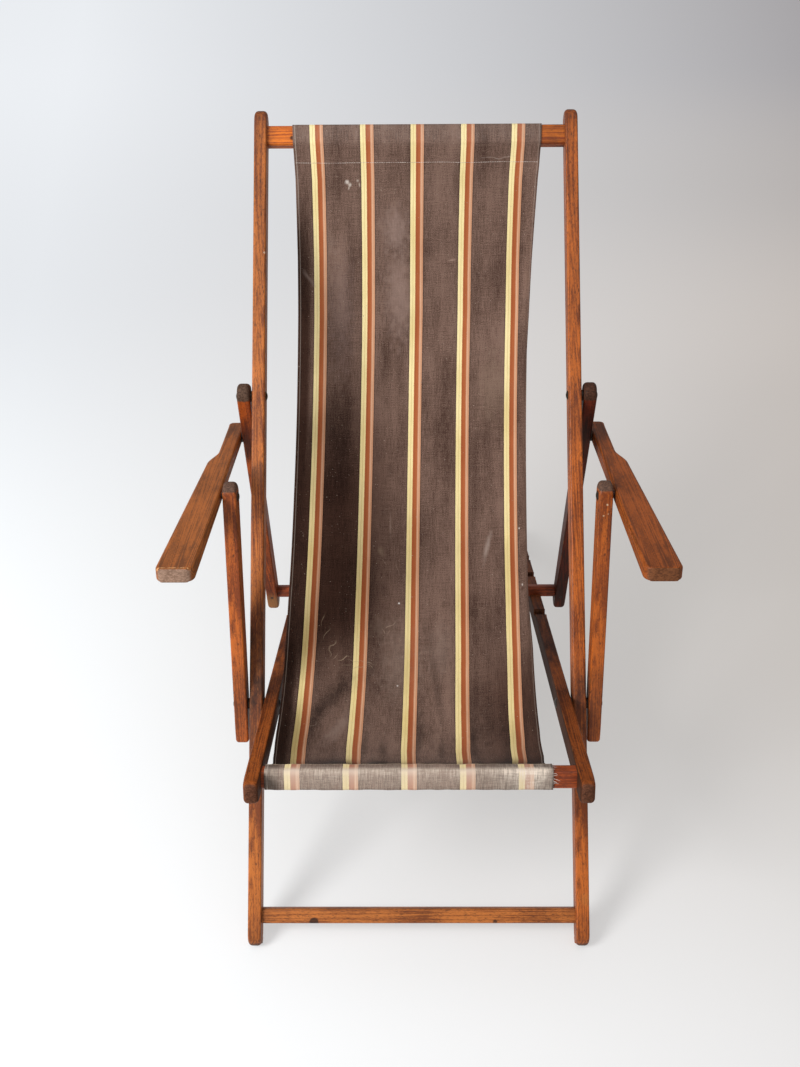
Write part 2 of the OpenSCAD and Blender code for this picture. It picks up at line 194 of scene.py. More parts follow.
def give(node, inputs):
    """Sets a node's inputs, each to a value, a colour's code or what another node gives."""
    for key, value in inputs.items():
        if isinstance(value, Signal):
            node.id_data.links.new(value.node.outputs[value.output], node.inputs[key])
        else:
            node.inputs[key].default_value = linear(value) if isinstance(value, str) else value


def add(tree, kind, *values, **settings):
    """Adds one node. values are its inputs in the table's order, or one dictionary of its inputs."""
    kind, inputs, output, usual = KINDS.get(kind, (kind, (), 0, {}))
    made = tree.nodes.new(kind)
    for name, value in {**usual, **settings}.items():
        setattr(made, name, value)
    give(made, dict(zip(inputs, values)) if inputs else dict(*values))
    return Signal(made, output)


def new_material(name):
    """A material, a way to add nodes to it, and its main shader."""
    material = bpy.data.materials.new(name)
    material.use_nodes = True
    return material, partial(add, material.node_tree), material.node_tree.nodes["Principled BSDF"]


def drawn_out(node, place, stretch, shift, *texture):
    """Noise that is stretched along a fibre. texture is its scale, detail and roughness."""
    return node("noise", node("stretch", place, stretch, shift), *texture)


def set_stops(ramp, stops):
    """Fills a colour ramp with greys, given as (place, amount)."""
    while len(ramp.elements) < len(stops):
        ramp.elements.new(0.5)
    for stop, (at, amount) in zip(ramp.elements, stops):
        stop.position = at
        stop.color = (amount, amount, amount, 1)


print("short names:", ", ".join(KINDS))

# %% [markdown]
# ## Old varnished hardwood
# The rails are oak or ash: a coarse, open grain with short dark pores a few millimetres long, under an
# orange-brown varnish that has darkened with age. Dirt has gathered round the pivots, and hands have
# rubbed the corners paler. An image would repeat and blur up close, so the grain is made from noise
# that is stretched along the bar. The pattern is a node group that works in millimetres in the bar's
# own directions, so the same wood serves bars that lean at any angle.

# %% The wood's pattern
SOCKETS = {"INPUT": {"Vector": ("Place", "Half size"), "Color": ("Light", "Dark", "Raw light", "Raw dark"),
                     "Float": ("Dirt", "End", "Wear", "Figure", "Pores")},
           "OUTPUT": {"Color": ("Color",), "Float": ("Roughness", "Height")}}


def wood_pattern():
    """Grain, pores, dirt, worn corners and end grain, from a place on the bar in millimetres."""
    tree = bpy.data.node_groups.new("hardwood_grain", "ShaderNodeTree")
    for way, kinds in SOCKETS.items():
        for kind, names in kinds.items():
            for name in names:
                tree.interface.new_socket(name, in_out=way, socket_type="NodeSocket" + kind)
    node = partial(add, tree)
    given = node("NodeGroupInput")
    streaks = partial(drawn_out, node, given["Place"])

    # Fibres 2 mm wide, pores 1.5 mm by 8 mm, the wavy lines of growth, and slow patches of tone.
    fibre = streaks((1, 0.04, 1), (0, 0, 0), 0.6, 4, 0.65)
    pores = streaks((1, 0.2, 1), (40, 0, 9), 0.62, 2, 0.7)
    flecks = streaks((1, 0.28, 1), (11, 5, 2), 0.8, 2, 0.7)
    figure = (streaks((1, 0.028, 1), (0, 70, 0), 0.045, 1, 0.35) * 110).math("SINE")
    patches = streaks((1, 0.4, 1), (7, 3, 1), 0.026, 3, 0.6)
    tone = fibre * 0.5 + patches * 0.8 + flecks * 0.5 + figure * 0.4 * given["Figure"]
    wood = node("mix", node("fade", tone, 0.70, 1.10), given["Dark"], given["Light"])
    pores = node("fade", pores, 0.54, 0.68) * given["Pores"]
    wood = node("mix", pores * 0.68, wood, "#3E1C0B")

    # Hands have rubbed the four long corners, in patches.
    place = node("ShaderNodeSeparateXYZ", {0: given["Place"]})
    half = node("ShaderNodeSeparateXYZ", {0: given["Half size"]})
    corner = (abs(place[0]) / half[0]).math("MINIMUM", abs(place[2]) / half[2])
    patchy = node("fade", streaks((1, 0.3, 1), (5, 90, 2), 0.11, 4, 0.7), 0.5, 0.64)
    rubbed = node("fade", corner, 0.82, 0.97) * patchy * given["Wear"]
    wood = node("mix", rubbed * 0.4, wood, "#C8874A")

    # End grain has lost its varnish.
    soft = node("fade", streaks((1, 1, 1.6), (12, 0, 31), 0.3, 4, 0.6), 0.3, 0.7)
    raw = node("mix", soft, given["Raw dark"], given["Raw light"])
    raw = node("mix", pores * 0.25, raw, "#33221A")
    wood = node("mix", given["End"], wood, raw)

    smears = node("fade", streaks((1, 0.4, 1), (3, 11, 60), 0.05, 5, 0.7), 0.3, 0.7, 0.5, 1.4)
    specks = node("fade", streaks((1, 0.6, 1), (8, 5, 4), 0.2, 3), 0.66, 0.72)
    dirt = (given["Dirt"] * smears + specks * 0.35).math("MINIMUM", 1)
    wood = node("mix", dirt * 0.88, wood, "#1E0E07")
    rough = (fibre * 0.16 + 0.44 + dirt * 0.16 + given["End"] * 0.25).math("MINIMUM", 1)
    node("NodeGroupOutput", {"Color": wood, "Roughness": rough, "Height": fibre * 0.6 - pores * 0.6})
    return tree


grain = wood_pattern()
print("grain nodes:", len(grain.nodes))

# %% [markdown]
# ## One wood for each bar
# A tree gives each bar its own tone. Each bar's material holds that bar's middle line, so its grain
# runs along it. A ramp says where along the bar dirt has gathered: round pivots, at feet and where
# rails rub. The varnish is a thin clear coat, which is why the wood shines a little at grazing light.

# %% Wood for a bar
def varnished_wood(name, place, slope, light, dark, dirt, half=(11, 18), wear=1.0, sideways=False,
                   ends=(0.62, 0.90), spots=(), figure=0.25, pores=1.0, bare=None, inner=None, rim=None,
                   raw=("#7E5C48", "#4A3226"), stains=(), shine=1.0):
    """place is the bar's origin in mm, slope its lean in degrees, dirt a list of (mm along, amount),
    half the half size of its section, and ends how squarely a face must look along it to be end grain.
    spots are (place, radius, strength) of dirt, bare is where the raw wood of a tip starts and is full,
    inner is the side of a dusty inner face, rim is where along the bar a chipped pale line runs, raw is
    the light and dark colour of its end grain, stains are (place, radius, colour, strength), and shine
    is 1 for whole varnish."""
    material, node, shader = new_material(name)
    turn = Matrix.Rotation(math.radians(slope), 3, "X")
    if sideways:
        turn = turn @ Matrix.Rotation(math.radians(-90), 3, "Z")
    where = node("ShaderNodeTexCoord")
    local = node("ShaderNodeMapping", {"Vector": where["Object"], "Location": Vector(place) * mm,
                 "Rotation": turn.to_euler(), "Scale": (mm, mm, mm)}, vector_type="TEXTURE")
    apart = node("ShaderNodeSeparateXYZ", {0: local})

    first, last = dirt[0][0], dirt[-1][0]
    run = node("ShaderNodeMapRange", {"Value": apart[1], "From Min": first, "From Max": last})
    amount = node("ShaderNodeValToRGB", {0: run})
    set_stops(amount.node.color_ramp, [((at - first) / (last - first), much) for at, much in dirt])
    for at, size, strength in spots:
        amount += node("fade", node("distance", local, at), size * 0.4, size, strength, 0.0)

    lengthways = node("ShaderNodeVectorMath", {0: where["Normal"], 1: turn @ Vector((0, 1, 0))},
                      operation="DOT_PRODUCT")["Value"]
    end = node("fade", abs(lengthways), *ends)
    if bare is not None:  # A tip that is rubbed bare, with a ragged border.
        ragged = apart[1] + (node("noise", local, 0.15, 2) - 0.5) * 5
        end = end.math("MAXIMUM", node("fade", ragged, *bare))
    drawn = node("ShaderNodeGroup", {
        "Place": local, "Half size": (half[0], 1, half[1]), "Light": light, "Dark": dark,
        "Dirt": amount, "End": end, "Wear": wear, "Figure": figure, "Pores": pores,
        "Raw light": raw[0], "Raw dark": raw[1]}, node_tree=grain)
    colour, rough = drawn["Color"], drawn["Roughness"]
    if inner is not None:  # Dust on the face that no hand reaches.
        sidelong = node("ShaderNodeSeparateXYZ", {0: where["Normal"]})[0] * inner
        dusty = node("fade", sidelong, 0.55, 0.85, 0.0, 0.8)
        colour = node("mix", dusty, colour, "#2E1C12")
        rough = rough.math("MAXIMUM", dusty)
    if rim is not None:  # A line of chips across the upper face.
        line = node("fade", abs(apart[1] - rim), 0.7, 1.5, 1.0, 0.0)
        chips = node("fade", node("noise", local, 0.28, 2), 0.44, 0.56)
        chips = line * (chips * node("fade", apart[2], 6, 8))
        colour = node("mix", chips * 0.8, colour, "#D6A06C")
    for at, size, shade, strength in stains:
        away = node("distance", local, at) + node("noise", local, 0.4, 2) * (size * 0.6)
        colour = node("mix", node("fade", away, size * 0.6, size * 1.5, strength, 0.0), colour, shade)
    bump = node("ShaderNodeBump", {"Strength": 0.6, "Distance": 0.25 * mm, "Height": drawn["Height"]})
    give(shader, {"Base Color": colour, "Roughness": rough, "Normal": bump, "IOR": 1.5,
                  "Specular IOR Level": 0.32 * shine, "Coat Weight": 0.08 * shine, "Coat Roughness": 0.22})
    return material


def paint(name, material):
    """Gives a CAD node's own object a better material."""
    for slot in nodes[name].material_slots:
        slot.material = material
    if not nodes[name].material_slots:
        nodes[name].data.materials.append(material)


print("wood for a bar is ready")

# %% [markdown]
# ## Rounded rails
# The rails were planed with rounded corners and their tips were sawn round, then rubbed soft. The solids
# have the round tips and the round long edges, but not the softened rim of a tip. So each rail is
# made again from its outline in the side view. The outline is pulled across the rail's thickness in
# steps that follow a quarter circle at each rim, and the circle is larger at the tips than along the
# rail. Weighted normals keep the flat faces flat, so light rolls over the rim as on planed wood.

# %% Outlines
def arc(centre, radius, start, end, steps):
    return [Vector(centre) + radius * along(start + (end - start) * i / steps) for i in range(steps + 1)]


def slab(y0, y1, depth, r0, r1, cuts=()):
    """A bar's outline, anticlockwise, with rounded ends. Cuts are (middle, width, depth) in its top."""
    h, steps = depth / 2, 9
    shape = arc((y0 + r0, r0 - h), r0, 180, 270, steps) + arc((y1 - r1, r1 - h), r1, 270, 360, steps)
    shape += arc((y1 - r1, h - r1), r1, 0, 90, steps)
    for middle, width, deep in sorted(cuts, reverse=True):
        right, left = middle + width / 2, middle - width / 2
        shape += [Vector(p) for p in ((right, h), (right, h - deep), (left, h - deep), (left, h))]
    shape += arc((y0 + r0, h - r0), r0, 90, 180, steps)
    return [p for i, p in enumerate(shape) if (p - shape[i - 1]).length > 0.01]


def placed(shape, pivot, slope):
    """An outline turned to a bar's slope and moved to its pivot, in the side view."""
    return [pivot + p.x * along(slope) + p.y * across(slope) for p in shape]


def above_floor(shape):
    """The part of an outline that is above the floor."""
    kept = []
    for i, b in enumerate(shape):
        a = shape[i - 1]
        if (a.y < 0) != (b.y < 0):
            kept.append(a.lerp(b, a.y / (a.y - b.y)))
        if b.y >= 0:
            kept.append(b)
    return kept


print("points round a long rail:", len(slab(-18, long_end, rail_depth, 18, 18)))

# %% From an outline to a rounded piece
def stepped(shape, step=10 * mm):
    """An outline with points added, so that no two are more than a step apart."""
    points = []
    for i, b in enumerate(shape):
        a = shape[i - 1]
        parts = max(1, math.ceil((b - a).length / step))
        points += [a.lerp(b, k / parts) for k in range(1, parts + 1)]
    return points


def inward_ways(shape):
    """At each point of an outline, the way in, long enough to keep both edges parallel."""
    turning = sum(shape[i - 1].x * p.y - p.x * shape[i - 1].y for i, p in enumerate(shape))
    ways = []
    for i, p in enumerate(shape):
        before, after = (p - shape[i - 1]).normalized(), (shape[(i + 1) % len(shape)] - p).normalized()
        left = Vector((-after.y, after.x))
        way = (left + Vector((-before.y, before.x))).normalized()
        way /= max(0.5, way.dot(left))
        ways.append(way if turning > 0 else -way)
    return ways


def boards(name, shape, low, high, rounding, share, plane="side", segments=5):
    """A piece from an outline. plane "side" pulls [Y, Z] along X, and "top" pulls [X, Y] along Z.
    share(point) is how much of the rounding the rim gets at a point of the outline, from 0 to 1."""
    shape = stepped(shape)
    ways = inward_ways(shape)
    round_by = [rounding * share(p) for p in shape]
    quarter = [math.radians(90 * k / segments) for k in range(segments + 1)]
    work = bmesh.new()
    rings = []
    for end, way_in, angles in ((low, 1, quarter), (high, -1, quarter[::-1])):
        for angle in angles:
            ring = []
            for p, way, r in zip(shape, ways, round_by):
                at = p + way * r * (1 - math.sin(angle))
                t = end + way_in * r * (1 - math.cos(angle))
                ring.append(work.verts.new((t, at.x, at.y) if plane == "side" else (at.x, at.y, t)))
            rings.append(ring)
    work.faces.new(rings[0])
    work.faces.new(rings[-1])
    for one, two in zip(rings, rings[1:]):
        for i in range(len(shape)):
            work.faces.new((one[i - 1], one[i], two[i], two[i - 1]))
    bmesh.ops.recalc_face_normals(work, faces=work.faces)
    mesh = bpy.data.meshes.new(name)
    work.to_mesh(mesh)
    work.free()
    mesh.shade_smooth()
    mesh.set_sharp_from_angle(angle=math.radians(40))
    piece = bpy.data.objects.new(name, mesh)
    bpy.context.scene.collection.objects.link(piece)
    normals = piece.modifiers.new("flat_faces", "WEIGHTED_NORMAL")
    normals.keep_sharp = True
    return piece


def plain(piece, change=None):
    """Applies a piece's modifiers, then a matrix if one is given, and leaves it at the origin."""
    bpy.context.view_layer.update()
    made = bpy.data.meshes.new_from_object(piece.evaluated_get(bpy.context.evaluated_depsgraph_get()))
    made.name = piece.name
    piece.modifiers.clear()
    piece.data = made
    if change is not None:
        made.transform(change)
    return piece


def ready(piece, body, material, slot, *replaced):
    """Dresses a finished piece and hangs it on its body."""
    piece.data.materials.clear()
    piece.data.materials.append(material)
    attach(piece, body)
    if replaced:
        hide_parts(*replaced)
    return piece


print("rounding helper is ready")

# %% [markdown]
# ## The rails
# Four pairs of rails have the same section. Two long rails carry the sling from the floor to the head.
# Two seat rails slope to the back, with four square notches in their tops for the crossbar. Two support
# rails lean back, and two posts carry the arms. One function makes and finishes any of them, and what
# differs is the outline, the dirt and the tones. Both sides of a pair get their own tones, because the
# wood of the left side is a duller brown and that of the right side more orange. The right support
# rail's much darker tones are painted shade.

# %% One rail of a pair
SIDES = (("left", -1), ("right", 1))
RIM, TIP_FADE, ALONG_SHARE = 7 * mm, 24, 0.43


def lane(side, inner):
    """The low and high X of a bar's lane on one side, in metres."""
    return sorted((side * inner * mm, side * (inner + rail_thickness) * mm))


def in_metres(shape):
    return [p * mm for p in shape]


def smooth(t):
    t = min(1.0, max(0.0, t))
    return t * t * (3 - 2 * t)


def tips_round(low, high, pivot, slope, notched, first):
    """A rule for a rail's rims: rounder at its two tips, less along its length, least in a notch or at
    the floor. first is the share at the low tip."""
    def share(point):
        if point.y < 0.2 * mm:
            return 0.15
        if notched is not None and notched(point):
            return 0.11
        at = (point / mm - pivot).dot(along(slope))
        return ALONG_SHARE + max((first - ALONG_SHARE) * smooth(1 - (at - low) / TIP_FADE),
                                 (1 - ALONG_SHARE) * smooth(1 - (high - at) / TIP_FADE))
    return share


def rail_pair(kind, wood_name, body, inner, shape, pivot, slope, tones, dirt, notched=None, first=1.0,
              dusty_inside=False, **finish):
    """Makes both rails of a pair. body may hold a {} for the side, inner is the lane, and shape is the
    outline along the bar. A finish or the dirt is the same on both sides, or a dictionary by side."""
    ends = min(p.x for p in shape), max(p.x for p in shape)
    outline = in_metres(above_floor(placed(shape, pivot, slope)))
    for name, side in SIDES:
        piece = plain(boards(f"{kind}_{name}_rounded", outline, *lane(side, inner), RIM,
                             tips_round(*ends, pivot, slope, notched, first)))
        own = {key: value[name] if isinstance(value, dict) else value for key, value in finish.items()}
        if dusty_inside:
            own["inner"] = -side
        wood = varnished_wood(f"{wood_name}_{name}", (side * (inner + rail_thickness / 2), *pivot), slope,
                              *tones[name], dirt[name] if isinstance(dirt, dict) else dirt, **own)
        ready(piece, body.format(name), wood, "varnished_wood", f"{kind}_{name}")
    print(kind, "faces:", len(piece.data.polygons))


print("lane of the right long rail:", lane(1, long_in))

# %% [markdown]
# The long rails are dark round the seat pivot, where the seat rail and the post rub them.

# %% Make the long rails
rail_pair(
    "long_rail", "oak_varnish_long", "long_frame", long_in, slab(-18, long_end, rail_depth, 18, 18),
    foot, long_angle, {"left": ("#C06C29", "#783810"), "right": ("#C26520", "#74340D")}, {
        "left": [(-18, 0.40), (40, 0.12), (200, 0.10), (290, 0.30), (350, 0.80), (410, 0.85), (490, 0.66),
                 (560, 0.42), (610, 0.08), (685, 0.06), (704, 0.34), (722, 0.08), (745, 0.46), (768, 0.54),
                 (800, 0.10), (840, 0.16), (880, 0.14), (930, 0.12), (1000, 0.24), (1120, 0.32),
                 (1300, 0.30), (1403, 0.38)],
        "right": [(-18, 0.32), (50, 0.08), (270, 0.12), (335, 0.66), (400, 0.72), (460, 0.20), (560, 0.10),
                  (640, 0.04), (760, 0.06), (860, 0.22), (960, 0.20), (1060, 0.34), (1250, 0.24),
                  (1403, 0.32)]},
    stains={"left": [((9, 1146, 18), 2.2, "#C8B4A0", 0.6), ((-6, 1020, 18), 3, "#3A1A0C", 0.5),
                     ((3, 1000, 18), 3, "#3A1A0C", 0.5)],
            "right": [((6, 60, 18), 12, "#B07034", 0.3)]})

# %% [markdown]
# The notches keep almost sharp rims, so they get a tenth of the rounding, and the wood round each notch
# is darkened almost to black. The inner faces of the seat rails are dusty, because no hand reaches them.

# %% Make the seat rails
notches = [(second_notch + (i - 1) * notch_pitch, notch_width, notch_depth) for i in range(4)]


def in_a_notch(point):
    """True for a point of the seat rail's outline that belongs to a notch."""
    p = point / mm - seat_pivot
    at, up = p.dot(along(seat_slope)), p.dot(across(seat_slope))
    return up > half_depth - notch_depth - 0.5 and any(abs(at - m) < w / 2 + 0.5 for m, w, _ in notches)


rail_pair(
    "seat_rail", "oak_varnish_seat", "seat_frame", seat_in,
    slab(seat_front, seat_reach + half_depth, rail_depth, seat_tip, half_depth, notches),
    seat_pivot, seat_slope, {"left": ("#A85822", "#5E2A10"), "right": ("#964C1C", "#4C220E")},
    [(-308, 0.45), (-280, 0.30), (-200, 0.22), (-60, 0.35), (0, 0.70), (60, 0.45), (300, 0.40), (480, 0.45),
     (700, 0.45), (960, 0.60)], notched=in_a_notch, ends=(0.6, 0.85), dusty_inside=True,
    spots=[((0, m, 14), 17, 1.3) for m, _, _ in notches], raw=("#80503A", "#50301F"), shine=0.35)

# %% [markdown]
# The round tops of the support rails and posts have lost their varnish, so their grey-brown end grain
# shows further down than on the other bars.

# %% Make the support rails and the posts
support_end, post_foot, post_end = support_reach + 44, -66, 388
rail_pair(
    "support_rail", "oak_varnish_support", "support_frame", side_in,
    slab(-23, support_end, rail_depth, half_depth, 14), support_pivot, support_slope,
    # The right support rail's much darker tones are painted shade.
    {"left": ("#B45418", "#682A0B"), "right": ("#6E2810", "#361407")},
    [(-23, 0.30), (20, 0.22), (80, 0.55), (130, 0.60), (200, 0.22), (420, 0.18), (520, 0.30),
     (support_end, 0.22)], bare=(-3, -6), shine=0.5,
    raw={"left": ("#6E5444", "#3E2C22"), "right": ("#5A3828", "#301C12")},
    stains={"left": [((0, support_end - 20, -18), 40, "#8A6038", 0.8)], "right": []})
rail_pair(
    "arm_post", "oak_varnish_post", "{}_post", side_in,
    slab(post_foot, post_end, rail_depth, 6, half_depth), seat_pivot, post_angle,
    {"left": ("#C66622", "#7A360F"), "right": ("#C4641C", "#7E380B")},
    [(-66, 0.22), (-40, 0.30), (-10, 0.55), (30, 0.60), (90, 0.24), (200, 0.06), (290, 0.10), (335, 0.40),
     (365, 0.25), (388, 0.30)], first=0.75, bare=(374, 377), raw=("#745442", "#463026"),
    stains={"left": [], "right": [((2, 354, 18), 2.0, "#D8BC98", 0.7), ((4, 339, 18), 1.2, "#D8BC98", 0.5),
                                  ((-3, 336, 18), 1.6, "#D8BC98", 0.55)]})

# %% [markdown]
# ## The arms
# Each arm is a flat board that widens to the front past a small shoulder. The solids leave the board's
# outer rim square, so both boards are made again with a soft rim, and their fronts show end grain.

# %% Make the arms
ARM_FRONT, ARM_HALF, ARM_RIM = -542, 11, 4.5


def arm_outline(side):
    """The arm seen from above: X outwards from its inner edge, Y back from its rear pivot."""
    shape = arc((4, 43), 4, 180, 90, 4) + arc((18, 38), 9, 90, 0, 6)
    shape += [Vector((27 + 13 * smooth(i / 12), -94 - 56 * i / 12)) for i in range(13)]
    shape += arc((43, 11 + ARM_FRONT), 11, 2, -90, 8) + arc((14, 14 + ARM_FRONT), 14, -90, -180, 9)
    return [Vector((side * (p.x + arm_in), p.y)) for p in shape]


def front_crisp(point):
    """The rim's share of the rounding: all of it along the sides, less at the front and the back."""
    return 0.5 if point.y < (ARM_FRONT + 1) * mm else 0.7 if point.y > 30 * mm else 1.0


arm_looks = {  # light and dark wood, light and dark end grain, the chipped line, shine
    "left": ("#AC6026", "#744018", ("#A78671", "#7B5D4A"), -538.5, 0.9),
    "right": ("#A0501A", "#68320E", ("#84502F", "#58321B"), None, 0.6)}
lean = Matrix.Rotation(math.radians(arm_slope), 4, "X")
lean.translation = (0, arm_pivot.x * mm, arm_pivot.y * mm)
for name, side in SIDES:
    light, dark, raw, rim, shine = arm_looks[name]
    board = boards(f"arm_{name}_board", in_metres(arm_outline(side)), -ARM_HALF * mm, ARM_HALF * mm,
                   ARM_RIM * mm, front_crisp, plane="top")
    plain(board, lean)
    wood = varnished_wood(
        f"ash_varnish_arm_{name}", (side * (arm_in + 27), *arm_pivot), arm_slope, light, dark,
        [(-542, 0.22), (-500, 0.14), (-300, 0.10), (-266, 0.30), (-150, 0.12), (0, 0.35), (47, 0.45)],
        half=(28, 11), wear=0.5, figure=0.30, pores=0.40, rim=rim, raw=raw, shine=shine)
    ready(board, f"{name}_arm", wood, "varnished_wood", f"arm_{name}")
print("arm slope:", round(arm_slope, 2))

# %% [markdown]
# ## The rails across
# The crosspieces are the solids' own, because their shapes are right. The top rail is a piece of
# orange pine with straight lines, the front rail and the crossbar are redder, and the foot stretcher
# has a dark chipped knot near its left end.

# %% Finish the rails across
top_at, stretcher_at = (foot + at * along(long_angle) for at in (top_rail_at, foot_stretcher_at))
front_at, rear_at = (seat_pivot + at * along(seat_slope) for at in (front_rail_at, seat_reach - rear_inset))
for name, wood_name, at, slope, light, dark, half, dirt, extra in (
        ("top_rail", "pine_varnish_top", top_at, long_angle, "#D87216", "#9C440A", (18, 11),
         [(-258, 0.45), (-240, 0.05), (0, 0.05), (212, 0.36), (235, 0.50), (258, 0.7)],
         {"figure": 0.6, "pores": 0.3, "spots": [((6, -214, 11), 6, 0.8)]}),
        ("foot_stretcher", "oak_varnish_stretcher", stretcher_at, long_angle, "#C07030", "#783C14", (12, 10),
         [(-258, 0.45), (-238, 0.12), (238, 0.10), (258, 0.40)],
         {"spots": [((9, -172, 10), 9, 1.8), ((9, 126, 10), 5, 1.0)]}),
        ("front_rail", "beech_varnish_front", front_at, seat_slope, "#B25018", "#762E0C", (12, 14),
         [(-232, 0.35), (-215, 0.12), (200, 0.10), (232, 0.30)], {}),
        ("rear_stretcher", "beech_varnish_rear", rear_at, seat_slope, "#8C4A22", "#542812", (10, 12),
         [(-232, 0.6), (-200, 0.4), (200, 0.4), (232, 0.6)], {}),
        ("support_crossbar", "beech_varnish_crossbar", crossbar, seat_slope, "#AE4C1C", "#74300F", (11, 11),
         [(-284, 0.5), (-262, 0.2), (262, 0.2), (284, 0.5)], {})):
    paint(name, varnished_wood(wood_name, (0, *at), slope, light, dark, dirt, half, sideways=True, **extra))
    print("painted:", name)

# %% [markdown]
# ## Blackened steel
# The bolts, washers, screws and nails are mild steel that was blackened and has since rusted a little.
# Steel is metallic with a dark base, and it is rough where the rust has gone brown.

# %% Finish the metal
def blackened_steel():
    material, node, shader = new_material("blackened_steel")
    where = node("ShaderNodeTexCoord")["Object"]
    # Grit of about 1 mm, and blooms of rust of about 4 mm.
    grit = node("noise", where, 900, 3, 0.6)
    rust = node("fade", node("noise", where, 260, 4, 0.65), 0.5, 0.66)
    colour = node("mix", node("fade", grit, 0.3, 0.7), "#24211F", "#4A4642")
    colour = node("mix", rust * 0.7, colour, "#55331F")
    bump = node("ShaderNodeBump", {"Strength": 0.5, "Distance": 0.2 * mm, "Height": grit})
    give(shader, {"Base Color": colour, "Roughness": node("fade", rust, 0, 1, 0.42, 0.75),
                  "Normal": bump, "Metallic": 0.85})
    return material


steel = blackened_steel()
steel_nodes = [name for name in nodes if any(word in name for word in ("bolt", "washer", "screw", "nail"))]
for name in steel_nodes:
    paint(name, steel)
print("steel nodes:", len(steel_nodes))

# %% [markdown]
# ## The sling's line
# The canvas is one strip. It starts in a hem behind the top rail, goes up the rail's back, over it and
# down its front, hangs to the seat, and wraps the front rail into a second hem. Its line in the side
# view is drawn first: round arcs at the rails and one long curve between them, as tension and a
# sitter's weight have left it.

# %% Draw the sling's line
rail_corner, cloth_gap, solid_half = 5, 0.4, 0.75
loop_radius = rail_corner + cloth_gap + solid_half
CURVE_STEPS, FINE_FROM, FINE_PARTS = 220, 215, 5


def round_rail(centre, slope, size, turns):
    """Arcs round the corners of a rail. Each turn is (sign of x, sign of z, start angle, end angle)."""
    line = []
    half_x, half_z = (side / 2 - rail_corner for side in size)
    for sx, sz, start, end in turns:
        line += arc((sx * half_x, sz * half_z), loop_radius, start, end, max(3, int(abs(end - start) / 12)))
    return [centre + p.x * along(slope) + p.y * across(slope) for p in line]


top_loop = round_rail(top_at, long_angle, top_rail_size,
                      [(-1, -1, -105, -90), (1, -1, -90, 0), (1, 1, 0, 90), (-1, 1, 90, 127)])
front_loop = round_rail(front_at, seat_slope, front_rail_size,
                        [(1, 1, 58, 90), (-1, 1, 90, 180), (-1, -1, 180, 270), (1, -1, 270, 300)])
# The long curve leaves the head and meets the front in the directions of its two middle points.
leave, meet = top_loop[-1], front_loop[0]
holds = (leave, leave + 640 * along(-93), meet + 355 * along(-50), meet)


def curve(t):
    a, b, c, d = holds
    return (1 - t) ** 3 * a + 3 * (1 - t) ** 2 * t * b + 3 * (1 - t) * t * t * c + t ** 3 * d


# Even steps of the curve, and finer ones over the last stretch, where the front seam is.
fine = [FINE_FROM + i / FINE_PARTS for i in range((CURVE_STEPS - FINE_FROM) * FINE_PARTS)]
sling = [curve(i / CURVE_STEPS) for i in [*range(1, FINE_FROM), *fine]]


def behind(i, off):
    """A point off the back of the sling, at its step i."""
    a, b = curve(i / CURVE_STEPS), curve((i + 1) / CURVE_STEPS)
    d = (b - a).normalized()
    return a + off * Vector((-d.y, d.x))


# The hems lie this far behind the sling, and these steps of it are where they start and end.
HEM_OFF, HEM_START, HEM_END = 1.9, 5, 213
top_hem = [behind(i, HEM_OFF) for i in range(HEM_START, 0, -1)]
front_hem = [behind(i, HEM_OFF) for i in range(HEM_END, HEM_END - 8, -2)]
print("sling steps:", len(sling), "leaves at", leave, "meets at", meet)

# %% [markdown]
# ## The canvas
# It is heavy cotton, 433 mm wide. It has drifted a little to one side, bellies in the middle, and its
# edges curl up, the right one most. A seam pinches it just above the front rail, and the loop below the
# seam is flatter and wider. All of that is one function that says where a point of the cloth is, so
# the stitches can be laid on the same surface later. Solidify then gives the cloth its thickness.

# %% Measure along the cloth
CLOTH_WIDTH, CLOTH_THICKNESS = 433, 1.3
STRIPE_PITCH, STRIPE_START = 87.9, 29.7
CREAM, RUST, TAN = 9.4, 7.9, 6.0
cloth_line = top_hem + top_loop + sling + front_loop + front_hem
travelled = [0.0]
for a, b in zip(cloth_line, cloth_line[1:]):
    travelled.append(travelled[-1] + (b - a).length)
zero = travelled[len(top_hem) + len(top_loop) - 1]
travelled = [t - zero for t in travelled]
SLING_LENGTH = travelled[len(top_hem) + len(top_loop) + len(sling)]
SEAM_AT = SLING_LENGTH - 7
print("cloth length:", round(travelled[-1] - travelled[0]), "mm, sling:", round(SLING_LENGTH), "mm")


# %% How the cloth spreads
def between(table, s):
    """A value from a short table of (mm down the cloth, value), on straight lines between its rows."""
    if s <= table[0][0]:
        return table[0][1]
    for (s0, v0), (s1, v1) in zip(table, table[1:]):
        if s <= s1:
            return v0 + (v1 - v0) * (s - s0) / (s1 - s0)
    return table[-1][1]


# How far the cloth has drifted to the side, and how wide it would be with its edges uncurled.
DRIFT = ((0, 2), (150, 1), (300, 0), (640, -6), (940, -11), (1060, -14), (1180, -16.5), (1320, -15))
SPREAD = ((-75, 421), (-58, 425), (-48, 433), (-30, 432), (10, 429), (60, 426), (200, 427), (640, 440),
          (840, 443), (940, 442), (1150, 434), (1240, 424), (SEAM_AT - 14, 408), (SEAM_AT, 410),
          (SEAM_AT + 6, 424), (1400, 425))
# How much each curled edge shortens the cloth.
CURL_RIGHT = ((30, 0), (100, 3), (190, 7), (370, 15), (840, 16), (950, 10), (1150, 5), (SEAM_AT - 6, 0))
CURL_LEFT = ((60, 0), (500, 1.5), (900, 2), (1050, 4.5), (1240, 3), (SEAM_AT - 6, 0))


